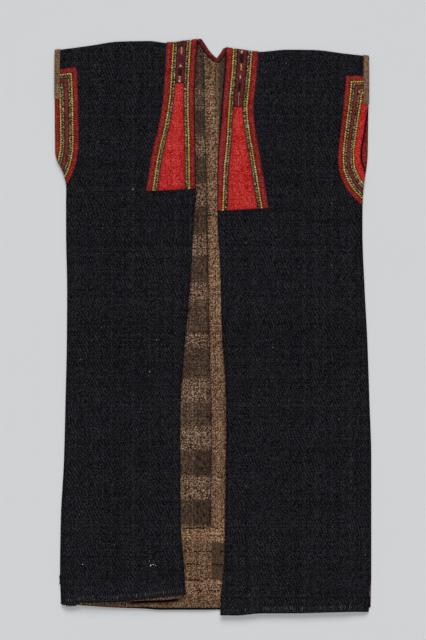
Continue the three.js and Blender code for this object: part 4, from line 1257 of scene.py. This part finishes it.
for front in (left, right):
    steps = BAND_STEPS[front.name]
    for name, finish, start, end in ARMHOLE_BANDS:
        sew_ring(front, name + "_cloth", name, finish, "crimson_wool", steps[start], steps[end], WOOL)
    line = armhole_lip_edge(front, steps[-1])
    ys = np.linspace(front.underarm, LIP_SEARCH_END, 600)
    wide = front.inward * (line(ys) - front.side(ys))
    foot = float(ys[wide > LIP_LEAST][0])
    top = float(band_top(front, steps[-1], line(np.array(LIP_TOP_GUESS))))
    grids = cut_strip(
        (line, front.from_side(EDGE_MARGIN)), (level(foot), level(top)), WOOL, columns=8, rows=80,
    )
    finish = LIP_FINISH[front.name]
    sew_on(front, "armhole_lip_cloth", "armhole_lip", finish, "scarlet_wool", grids, WOOL)

# %% [markdown]
# ## Braid, stitch by stitch
#
# The braid is a row of slanted yellow teeth beside rows in olive, grey and black. A bump map could fake it,
# but seen close by, each stitch is a small raised grain with its own shadow. All stitches share one grain of
# 30 faces. Arrays of centres, directions and sizes place thousands of copies at once, with no loop over
# them.

# %% The grain, and how copies of it are laid
HEADING_STEP = 0.4
GRAIN_TAPER, GRAIN_UNDERSIDE = 0.6, 0.25


def grain(rings=4, around=6):
    """Points and faces of one stitch, 1 long, 1 wide and 1 high: ring radii follow the sine of the angle
    from end to end, and the underside is pressed flat."""
    angle = np.linspace(0, np.pi, rings + 2)[1:-1]
    turn = np.linspace(0, 2 * np.pi, around, endpoint=False)
    radius = np.repeat(np.sin(angle) ** GRAIN_TAPER, around)
    up = radius * np.tile(np.sin(turn), rings)
    body = np.stack([
        np.repeat(-np.cos(angle) / 2, around), radius * np.tile(np.cos(turn), rings) / 2,
        np.where(up < 0, GRAIN_UNDERSIDE * up, up),
    ], -1)
    index = np.arange(rings * around).reshape(rings, around)
    ahead = np.roll(index, -1, axis=1)
    quads = np.stack([index[:-1], ahead[:-1], ahead[1:], index[1:]], -1).reshape(-1, 4)
    first, last = np.full(around, rings * around), np.full(around, rings * around + 1)
    caps = [np.stack([first, ahead[0], index[0]], -1), np.stack([last, index[-1], ahead[-1]], -1)]
    return np.vstack([body, (-0.5, 0, 0), (0.5, 0, 0)]), quads, np.concatenate(caps)


GRAIN = grain()


def lay_stitches(name, batches):
    """One object of many stitches. Each batch is (centres, directions, ups, sizes, colours), a row a
    stitch."""
    centre, along, up, size, colour = (np.concatenate([batch[k] for batch in batches]) for k in range(5))
    side = np.cross(up, along)
    shape, quads, caps = GRAIN
    axes = np.stack([along * size[:, :1], side * size[:, 1:2], up * size[:, 2:]], 1)
    points = (centre[:, None] + np.einsum("pk,nkc->npc", shape, axes)).reshape(-1, 3)
    shift = (np.arange(len(centre)) * len(shape))[:, None, None]
    faces = (quads[None] + shift).reshape(-1, 4).tolist() + (caps[None] + shift).reshape(-1, 3).tolist()
    colours = np.repeat(np.hstack([colour, np.ones((len(colour), 1))]), len(shape), axis=0)
    piece = put_mesh(name, points, faces, braid_thread, thread=colours)
    print(name, len(centre), "grains")
    return piece


def on_front(front, x, v, heading, lift):
    """Centres, directions and ups of stitches on a front. heading is an angle from +x towards +v."""
    up = front.normal(x, v)
    dx, dv = HEADING_STEP * np.cos(heading), HEADING_STEP * np.sin(heading)
    along = front.face(x + dx, v + dv) - front.face(x - dx, v - dv)
    along -= (along * up).sum(-1, keepdims=True) * up
    return front.face(x, v) + up * lift, unit(along), up


print("one stitch has", len(GRAIN[1]) + len(GRAIN[2]), "faces")

# %% [markdown]
# A row of stitches follows a path in the cloth's own plane. The path is walked in equal steps, and at each
# step a stitch is laid at a slant to it. Colours are drawn from a short list with a fixed seed.

# %% Rows of stitches along a path
LOOK_AHEAD = 0.8
JITTER, SWAY = 0.12, 0.08
SIZE_SPREAD = (0.86, 1.14)
BRIGHTNESS_SPREAD, BRIGHTEST = (0.75, 1.2), 0.9
SEEDS = {"collar": 40, "armhole": 60, "tape": 80, "hem": 100, "facing": 131}


def walk(path, pitch, start=0.0):
    """Points every `pitch` along a path of (x, v) rows, and the path's heading there."""
    marks = travelled(path)
    at = np.arange(start + pitch / 2, marks[-1] - pitch / 3, pitch)
    behind, ahead = [points_at(at + shift, marks, path) for shift in (-LOOK_AHEAD, LOOK_AHEAD)]
    step = ahead - behind
    return (ahead + behind) / 2, np.arctan2(step[:, 1], step[:, 0])


def linear(palette):
    """The colours of a palette as rows of linear light."""
    return np.array([tone(*colour)[:3] for colour in palette])


def colours_from(draw, palette, shares, count):
    """Linear colours drawn from a palette of named tones, each lightened or darkened a little."""
    chosen = linear(palette)[draw.choice(len(palette), count, p=shares)]
    return np.minimum(chosen * draw.uniform(*BRIGHTNESS_SPREAD, (count, 1)), BRIGHTEST)


def scatter(front, x, v, heading, lift, size, spread, palette, shares, draw):
    """A batch of stitches at given points of a front, whose sizes vary by a spread."""
    frames = on_front(front, x, v, heading, lift)
    sizes = np.array(size) * draw.uniform(*spread, (len(x), 3))
    return (*frames, sizes, colours_from(draw, palette, shares, len(x)))


def stitch_row(front, path, draw, pitch, slant, size, lift, palette, shares, start, kept):
    """A batch of stitches along a path, slanted by an angle in degrees from it, of which a share is kept."""
    point, heading = walk(path, pitch, start)
    laid = draw.random(len(point)) < kept
    point, heading = point[laid], heading[laid]
    point = point + draw.normal(0, JITTER, point.shape)
    turned = heading + np.radians(slant) + draw.normal(0, SWAY, len(point))
    return scatter(front, *point.T, turned, lift, size, SIZE_SPREAD, palette, shares, draw)


YELLOWS = [(255, 196, 92), (255, 180, 80), (255, 222, 164), (252, 160, 72)]
# Darker golds laid between the yellow teeth: painted shade in the gaps
GAP_SHADE_GOLDS = [(112, 68, 26), (150, 98, 38)]
GREENS = [(150, 144, 104), (124, 124, 84), (196, 184, 152), (58, 60, 44), (232, 216, 190)]
BLACKS = [(14, 14, 11), (26, 24, 18)]
TOOTH = 4.5


def braid_batches(front, path_at, yellow_first, width, draw):
    """The rows of one braid, across from 0 to its width: teeth of yellow thread with darker gold between
    them as painted shade in the gaps, a broken line of black, two rows of olive and grey that lean towards
    each other with black specks between them, and a dark line at each edge as painted shadow beside the
    next band.

    A row of the table is: place across, pitch, slant, size, lift, palette, shares, start, share kept.
    """
    lean = 1 if yellow_first else -1
    rows = [
        (0.23, TOOTH, 40, (0.52 * width, 2.8, 1.1), 0.62, YELLOWS, [0.4, 0.25, 0.2, 0.15], 0.0, 1.0),
        (0.25, TOOTH, 44, (0.42 * width, 1.5, 0.8), 0.6, GAP_SHADE_GOLDS, [0.5, 0.5], TOOTH / 2, 1.0),
        (0.48, 5.4, 20, (3.8, 2.5, 1.5), 0.7, BLACKS, [0.6, 0.4], 0.0, 0.85),
        (0.60, 2.1, 42, (3.0, 1.5, 0.85), 0.62, GREENS, [0.34, 0.26, 0.16, 0.16, 0.08], 0.0, 1.0),
        (0.80, 2.1, -42, (3.0, 1.5, 0.85), 0.62, GREENS, [0.3, 0.24, 0.22, 0.14, 0.1], 1.0, 1.0),
        (0.70, 6.8, -30, (3.0, 2.2, 1.4), 0.7, BLACKS, [0.6, 0.4], 0.0, 0.75),
        # Dark lines at both edges of the braid: painted shadow where it meets the band beside it
        (0.0, 2.6, 0, (2.4, 1.0, 0.7), 0.62, BLACKS, [0.7, 0.3], 0.0, 1.0),
        (0.98, 2.6, 0, (2.4, 1.0, 0.7), 0.62, BLACKS, [0.7, 0.3], 0.0, 1.0),
    ]
    batches = []
    for place, pitch, slant, *rest in rows:
        path = path_at(place * width if yellow_first else width - place * width)
        batches.append(stitch_row(front, path, draw, pitch, lean * slant, *rest))
    return batches


print("one yellow tooth every", TOOTH, "mm")

# %% Braids on the collar
GROUND_MARGIN = 0.2
PATH_GUESS, PATH_TURNS = 400.0, 5


def collar_path(column, start, end, count=160):
    """(x, v) rows up a column of the collar, between two lines that are functions of x."""
    t = np.linspace(0, 1, count)
    v = np.full(count, PATH_GUESS)
    for _ in range(PATH_TURNS):
        x = column(v)
        v = start(x) + (end(x) - start(x)) * t
    return np.stack([x, v], -1)


for front in (left, right):
    lines = (front.collar_foot, shoulder_end(front, BRAIDS_END))
    draw = np.random.default_rng(SEEDS["collar"] + front.seed)
    for name, column_at, yellow_first in [
        ("collar_braid_outer", lambda d: front.from_collar(COLLAR_EDGE_WIDTH + d), True),
        ("collar_braid_inner", lambda d: front.from_inner_edge(BRAID_WIDTH - d), False),
    ]:
        batches = braid_batches(
            front, lambda d: collar_path(column_at(d), *lines), yellow_first, BRAID_WIDTH, draw,
        )
        stitches = lay_stitches(f"{name}_stitches_{front.name}", batches)
        edges = (column_at(GROUND_MARGIN), column_at(BRAID_WIDTH - GROUND_MARGIN))
        grids = cut_strip(edges, lines, BRAID_BASE, columns=6, rows=150)
        sew_on(front, name + "_ground", name, dark_tape, "braid", grids, BRAID_BASE, pieces=[stitches])

# %% Braids round the armholes
for front in (left, right):
    draw = np.random.default_rng(SEEDS["armhole"] + front.seed)
    for name, first, yellow_first in [("armhole_braid_outer", 1, True), ("armhole_braid_inner", 3, False)]:
        start, end = BAND_STEPS[front.name][first:first + 2]
        batches = braid_batches(front, lambda d: band_path(front, start + d), yellow_first, end - start, draw)
        stitches = lay_stitches(f"{name}_stitches_{front.name}", batches)
        sew_ring(
            front, name + "_ground", name, dark_tape, "braid", start + GROUND_MARGIN, end - GROUND_MARGIN,
            BRAID_BASE, [stitches],
        )

# %% [markdown]
# ## Bindings
#
# A brown strip binds the upper part of each armhole, over the ends of the bands, and a red one edges the
# back of the neck. The right front's edge bows inwards and bares a red facing on the back.

# %% Brown bindings at the armholes' tops
BINDING_EDGES = (-0.4, 10.2)
BINDING_LIFT, LEAST_LIFT = 1.5, 0.2
BINDING_SINKS = (-26, -8)
BINDING_CHECK = 0.2

for front in (left, right):
    edges = [front.from_side(distance) for distance in BINDING_EDGES]
    lines = (level(front.binding_foot), shoulder_end(front, BANDS_END))
    grids = cut_strip(edges, lines, LINING_CLOTH, columns=10, rows=60)
    lift = BINDING_LIFT * (1 - ease(*BINDING_SINKS, grids[1] - front.roll_start(grids[0]))) + LEAST_LIFT
    sew(
        f"armhole_binding_cloth_{front.name}", f"armhole_binding_{front.name}", binding_brown, "brown_lining",
        grids, front.surface, lift[..., None], LINING_CLOTH, "laid", [front_cloth[front.name]],
        check=BINDING_CHECK + 0 * grids[0],
    )

# %% Red facings on the back at the armholes, with a painted shadow where the front's edge lies over them
FACING_FROM = 0.4
FACING_REACH = {"left": 10.5, "right": 17.0}
FACING_ABOVE_UNDERARM = 30
FRONT_EDGE_SHADOW_SPAN, FRONT_EDGE_SHADOW_DARKNESS = (-5.5, -0.5), 1.5

for front in (left, right):
    edges = (front.from_seam(FACING_FROM), front.from_seam(FACING_REACH[front.name]))
    lines = (level(front.underarm + FACING_ABOVE_UNDERARM), level(front.binding_foot))
    x, v, rim, near = cut_strip(edges, lines, LINING_CLOTH, columns=8, rows=80)
    # Painted shadow: the edge value rises towards the front's edge, so the facing is darker where that edge
    # shades it
    front_edge_shadow = FRONT_EDGE_SHADOW_DARKNESS * ease(*FRONT_EDGE_SHADOW_SPAN, front.inward * (x - front.side(v)))
    sew(
        f"armhole_facing_cloth_{front.name}", f"armhole_facing_{front.name}", crimson_wool, "scarlet_wool",
        (x, v, rim, np.maximum(near, front_edge_shadow)), table_top(BACK_LINING_Z), 0.0, LINING_CLOTH, "laid", [back],
    )

# %% Edging of the back neck: its profile as distance from the neck's line and height
NECK_PROFILE = np.array([
    (9.4, 3.4), (4.6, 3.5), (1.6, 3.5), (0.6, 3.2), (0.25, 2.4), (0.2, 1.3), (0.25, 0.4),
])
NECK_HALF = 0.4
NECK_SHADE = 0.3
MIDDLE_ROW = 20


def neck_edging():
    """Carries a folded profile along the V of the neck: it starts on the lining, goes over the edge and
    down.

    The columns are distances along the profile, and the rows follow the neck's line with mitred corners.
    """
    corners = travelled(NECK_LINE)
    path = points_at(np.union1d(np.linspace(0, corners[-1], 60), corners), corners, NECK_LINE)
    heading = unit(np.gradient(path, axis=0))
    inwards = np.stack([heading[:, 1], -heading[:, 0]], -1)
    ground = path[:, None, :] + inwards[:, None, :] * NECK_PROFILE[None, :, :1]
    middle = np.concatenate([ground, np.tile(NECK_PROFILE[None, :, 1:], (len(path), 1, 1))], -1)
    out = unit(np.cross(np.gradient(middle, axis=0), np.gradient(middle, axis=1)))
    half = np.full(middle.shape[:2], NECK_HALF)
    half[[0, -1]] = 0
    half[:, [0, -1]] = 0
    return middle, out * np.sign(out[MIDDLE_ROW, 1, 2]), half, path


middle, out, half, path = neck_edging()
points, faces = wall(middle, out, half)
run, across = travelled(path), travelled(middle[MIDDLE_ROW])
uv = both_sides(np.stack(np.meshgrid(across, run), -1))
edge = both_sides(NECK_SHADE + 0 * half)
neck = put_mesh("neck_edging_cloth", points, faces, tape_wool, uv, edge=edge)
width, length = float(across[-1]) * MM, float(run[-1]) * MM
declare(neck, "neck_binding", (width, length), width * length)

# %% [markdown]
# ## Ornaments of the collar tapes
#
# Above the scarlet panels each tape carries a column of small ornaments: bars, blocks and dots in satin
# stitch. Each is a block of stitches laid side by side across the tape. A table notes where a block begins
# and ends, its width and its colours.

# %% Notes of the ornaments: from v, to v, middle x, width, lean, colours
TAPE_BLOCKS = {
    "left": [
        (543, 530, -59.0, 7.0, 38, [(36, 50, 38), (22, 22, 22)]),
        (530, 517, -59.6, 3.4, 0, [(206, 176, 140)]),
        (514.5, 499.5, -61.0, 5.2, 0, [(72, 30, 58), (96, 52, 86)]),
        (496, 492, -61.5, 3.6, 0, [(238, 226, 218)]),
        (490, 475.5, -62.6, 6.0, 0, [(26, 20, 24), (44, 34, 40)]),
        (474.5, 472.5, -63.0, 4.0, 0, [(220, 200, 180)]), (471.5, 467.5, -63.2, 4.2, 0, [(196, 160, 130)]),
        (466.5, 463.5, -63.4, 4.2, 0, [(240, 228, 220)]),
    ],
    "right": [
        (524, 518.5, 54.6, 4.0, 0, [(236, 206, 176)]),
        (518, 500, 54.4, 6.4, 0, [(26, 22, 26), (40, 34, 44)]),
        (498.5, 486, 53.6, 3.6, 0, [(206, 168, 112)]), (476.5, 470, 51.8, 3.2, 0, [(226, 190, 160)]),
        (469.5, 463, 51.2, 4.2, 0, [(120, 62, 90)]), (462, 445, 50.0, 5.4, 0, [(24, 20, 24), (40, 36, 42)]),
        (444, 437.5, 49.4, 3.8, 0, [(112, 110, 76), (176, 150, 116)]),
        (436.5, 418.5, 48.6, 2.2, 0, [(188, 132, 128)]),
    ],
}
SATIN_PITCH, SATIN_THREAD, SATIN_SWAY = 1.0, (1.15, 0.6), 0.05
SATIN_SPREAD, SATIN_BRIGHTNESS = (0.9, 1.1), (0.8, 1.15)
FLANK_PITCH, FLANK_SIZE, FLANK_SWAY = 2.0, (2.3, 1.2, 0.5), 0.08
FLANK_SPREAD, FLANK_GAP = (0.85, 1.15), 0.5
FLANKS = [(40, 16, 16), (26, 14, 14)]


def block_middle(block, v):
    """x of a block's middle at each v: a leaning block drifts by half the tangent of its lean."""
    top, bottom, middle_x, _, lean, _ = block
    return middle_x + (v - (top + bottom) / 2) * np.tan(np.radians(lean)) * 0.5


def satin_block(front, block, draw):
    """A batch of stitches that fill a block, each across the tape and turned by the block's lean in
    degrees."""
    top, bottom, _, width, lean, palette = block
    v = np.arange(bottom + SATIN_PITCH / 2, top, SATIN_PITCH)
    heading = np.full(len(v), np.radians(lean)) + draw.normal(0, SATIN_SWAY, len(v))
    frames = on_front(front, block_middle(block, v), v, heading, WOOL)
    sizes = np.array([width, *SATIN_THREAD]) * draw.uniform(*SATIN_SPREAD, (len(v), 3))
    colours = linear(palette)[np.arange(len(v)) % len(palette)]
    return (*frames, sizes, colours * draw.uniform(*SATIN_BRIGHTNESS, (len(v), 1)))


def flank_block(front, block, draw):
    """A batch of thin dark stitches up both sides of a block."""
    top, bottom, _, width, _, _ = block
    v = np.tile(np.arange(bottom + FLANK_PITCH / 2, top, FLANK_PITCH), 2)
    x = block_middle(block, v) + np.repeat([-1, 1], len(v) // 2) * (width / 2 + FLANK_GAP)
    heading = np.full(len(v), np.pi / 2) + draw.normal(0, FLANK_SWAY, len(v))
    return scatter(front, x, v, heading, WOOL, FLANK_SIZE, FLANK_SPREAD, FLANKS, [0.5, 0.5], draw)


for front in (left, right):
    draw = np.random.default_rng(SEEDS["tape"] + front.seed)
    batches = [satin_block(front, block, draw) for block in TAPE_BLOCKS[front.name]]
    batches += [flank_block(front, block, draw) for block in TAPE_BLOCKS[front.name]]
    lay_stitches(f"tape_ornaments_{front.name}", batches)

# %% [markdown]
# ## Hems, facing stitches and lint
#
# Along the fronts' hems runs a row of upright stitches in dark teal and olive, hardly lighter than the
# cloth. The facing is held by rows of dark running stitches. A little lint lies on the cloth.

# %% Stitches along the hems: v and its spread, heading and its spread, size, its spread, colours, shares
HEM_THREADS = [(64, 70, 66), (84, 80, 56), (104, 110, 110), (40, 44, 44), (94, 76, 54)]
TEALS = [(26, 46, 54), (20, 34, 42), (40, 58, 64)]
HEM_ROWS = [
    (9.2, 0.6, 90, 0.09, (7.6, 1.3, 0.6), (0.7, 1.15), HEM_THREADS, [0.3, 0.2, 0.15, 0.25, 0.1]),
    (3.4, 0.4, 0, 0.12, (4.6, 1.8, 0.6), (0.8, 1.15), TEALS, [0.4, 0.4, 0.2]),
]
HEM_RUN = {"left": (8.0, 236.0), "right": (8.0, 274.0)}
HEM_PITCH, HEM_JITTER, HEM_SINK = 4.3, 0.35, -0.1
HEM_Y = -530.0

for front in (left, right):
    draw = np.random.default_rng(SEEDS["hem"] + front.seed)
    x = np.arange(*HEM_RUN[front.name], HEM_PITCH) * -front.inward + front.opening(HEM_Y)
    x = x + draw.normal(0, HEM_JITTER, len(x))
    batches = []
    for above, spread, heading, sway, *row in HEM_ROWS:
        v = front.hem(x) + above + draw.normal(0, spread, len(x))
        turned = np.radians(heading) + draw.normal(0, sway, len(x))
        batches.append(scatter(front, x, v, turned, HEM_SINK, *row, draw))
    lay_stitches(f"hem_stitches_{front.name}", batches)

# %% Running stitches on the facing: y, then pairs of from x, to x
FACING_ROWS = [
    (-382.5, [(-58, -15), (5, 10)]), (-426, [(-55, -49), (-36, -1), (13, 21)]),
    (-450, [(-51, -27), (-2, 19)]), (-480.5, [(-49, -25)]), (-500.5, [(-34, -20), (-6, 13)]),
]
RUNNING_LENGTH, RUNNING_WIDTH, RUNNING_SHARE = 6.5, 2.8, 0.9
RUNNING_JITTER, RUNNING_SWAY = 0.5, 0.04
STITCH_HEIGHT = 0.9
BROWN_BLACKS = [(22, 14, 11), (14, 11, 10)]


def on_lining(place, x, y, heading, length, width, draw):
    """A batch of dark stitches on a layer of lining."""
    centre = place(x, y) + np.array([0, 0, LINING_CLOTH])
    along = np.stack([np.cos(heading), np.sin(heading), 0 * x], -1)
    up = np.tile([0.0, 0.0, 1.0], (len(x), 1))
    sizes = np.stack([length, width + 0 * x, STITCH_HEIGHT + 0 * x], -1)
    return centre, along, up, sizes, colours_from(draw, BROWN_BLACKS, [0.6, 0.4], len(x))


def running_row(y, spans, draw):
    """A batch of dark stitches along a row, in the spans where it shows."""
    centres, lengths = [], []
    for x0, x1 in spans:
        edges = np.linspace(x0, x1, max(1, round((x1 - x0) / RUNNING_LENGTH)) + 1)
        centres.append((edges[1:] + edges[:-1]) / 2)
        lengths.append(np.diff(edges) * RUNNING_SHARE)
    x, length = np.concatenate(centres), np.concatenate(lengths)
    y = y + draw.normal(0, RUNNING_JITTER, len(x))
    heading = draw.normal(0, RUNNING_SWAY, len(x))
    return on_lining(facing_surface[0], x, y, heading, length, RUNNING_WIDTH, draw)


draw = np.random.default_rng(SEEDS["facing"])
lay_stitches("facing_stitches", [running_row(y, spans, draw) for y, spans in FACING_ROWS])

# %% Darning below the neck: from x, y to x, y
DARNS = [(-13.0, 508.5, 4.0, 485.0), (-9.5, 500.5, 0.5, 486.5)]
DARN_STITCHES = 5
DARNING_WIDTH, DARNING_LENGTHS = 1.6, (2.6, 4.4)
DARN_JITTER, DARN_SWAY = 0.3, 0.12

batches = []
for x0, y0, x1, y1 in DARNS:
    share = (np.arange(DARN_STITCHES) + 0.5) / DARN_STITCHES
    x = x0 + (x1 - x0) * share + draw.normal(0, DARN_JITTER, DARN_STITCHES)
    y = y0 + (y1 - y0) * share + draw.normal(0, DARN_JITTER, DARN_STITCHES)
    heading = np.arctan2(y1 - y0, x1 - x0) + draw.normal(0, DARN_SWAY, DARN_STITCHES)
    length = draw.uniform(*DARNING_LENGTHS, DARN_STITCHES)
    batches.append(on_lining(lining_surface[0], x, y, heading, length, DARNING_WIDTH, draw))
lay_stitches("neck_darning", batches)

# %% Overcast stitches on bindings and at the slits: x, v, heading in degrees, length, width
OVERCAST = {
    "left": [
        (-299.4, 480, 10, 3.6, 1.6), (-299.6, 470, -8, 3.2, 1.5), (-299.6, 460, 12, 3.4, 1.8),
        (-299.2, 456, -20, 2.8, 1.4), (-299.4, 447, 5, 3.4, 1.6), (-299.2, 441, -12, 2.8, 1.5),
        (-297.0, 431.4, 0, 4.2, 1.3), (-292.6, 431.0, 6, 3.6, 1.2), (-290.6, -474.5, 86, 6.0, 2.2),
        (-290.2, -480.5, 95, 6.4, 2.6), (-290.6, -486.5, 84, 5.4, 2.2),
    ],
    "right": [
        (294.6, 508, 8, 3.4, 1.7), (285.6, 507, -15, 3.2, 1.6), (294.6, 470, 10, 3.0, 1.4),
        (294.4, 448, -8, 3.4, 1.7), (294.2, 443, 14, 2.8, 1.4), (285.2, 436, 4, 3.0, 1.3),
    ],
}
BROWN_BITS = [(298.3, -496.5, 88, 12.0, 3.0), (298.0, -507.0, 93, 11.0, 3.2)]
BROWNS = [(122, 90, 66), (96, 70, 52)]
TABLES = {"left": [(OVERCAST["left"], BLACKS)], "right": [(OVERCAST["right"], BLACKS), (BROWN_BITS, BROWNS)]}

for front in (left, right):
    batches = []
    for table, palette in TABLES[front.name]:
        x, v, heading, length, width = np.array(table, float).T
        lift = np.where(v > front.binding_foot, BINDING_LIFT + STITCH_HEIGHT, LEAST_LIFT)[:, None]
        frames = on_front(front, x, v, np.radians(heading), lift)
        sizes = np.stack([length, width, STITCH_HEIGHT + 0 * x], -1)
        batches.append((*frames, sizes, colours_from(draw, palette, [0.6, 0.4], len(x))))
    lay_stitches(f"overcast_stitches_{front.name}", batches)

# %% Lint: x, y, length, width, heading in degrees, brightness
LINT = {
    "left": [
        (-151.4, 260.4, 2.6, 1.3, 20, 0.85), (-118, -452, 4.2, 1.8, 60, 0.95),
        (-113, -450, 3.0, 1.4, 15, 0.85), (-108.8, -452, 2.4, 1.1, -20, 0.6),
        (-120.4, -444, 1.6, 1.0, 0, 0.6), (-119, -438, 1.4, 0.8, 40, 0.4),
        (-247.3, -450.4, 1.9, 1.4, 0, 0.95), (-106.8, -24.6, 1.9, 1.2, 0, 0.6),
        (-103.6, -24.2, 1.5, 1.0, 0, 0.35), (-119.9, -85.2, 1.7, 1.4, 0, 0.95),
        (-251.2, -62.4, 1.4, 1.1, 0, 0.45), (-215.6, -144, 1.4, 1.0, 0, 0.3),
    ],
    "right": [(69, -507, 3.4, 1.2, 40, 0.35), (66.5, -510.5, 2.0, 1.0, 60, 0.3)],
}
LINT_TINT = {"left": np.array([0.86, 0.9, 1.0]), "right": np.array([0.5, 0.55, 1.0])}
LINT_HEIGHT = 0.6

for front in (left, right):
    x, y, length, width, heading, bright = np.array(LINT[front.name], float).T
    frames = on_front(front, x, y, np.radians(heading), 0.0)
    sizes = np.stack([length, width, LINT_HEIGHT + 0 * x], -1)
    lay_stitches(f"lint_{front.name}", [(*frames, sizes, bright[:, None] * LINT_TINT[front.name])])

# %% [markdown]
# ## Measure and finish

# %% Print how each piece was cut
print("cuts:", CUTS)
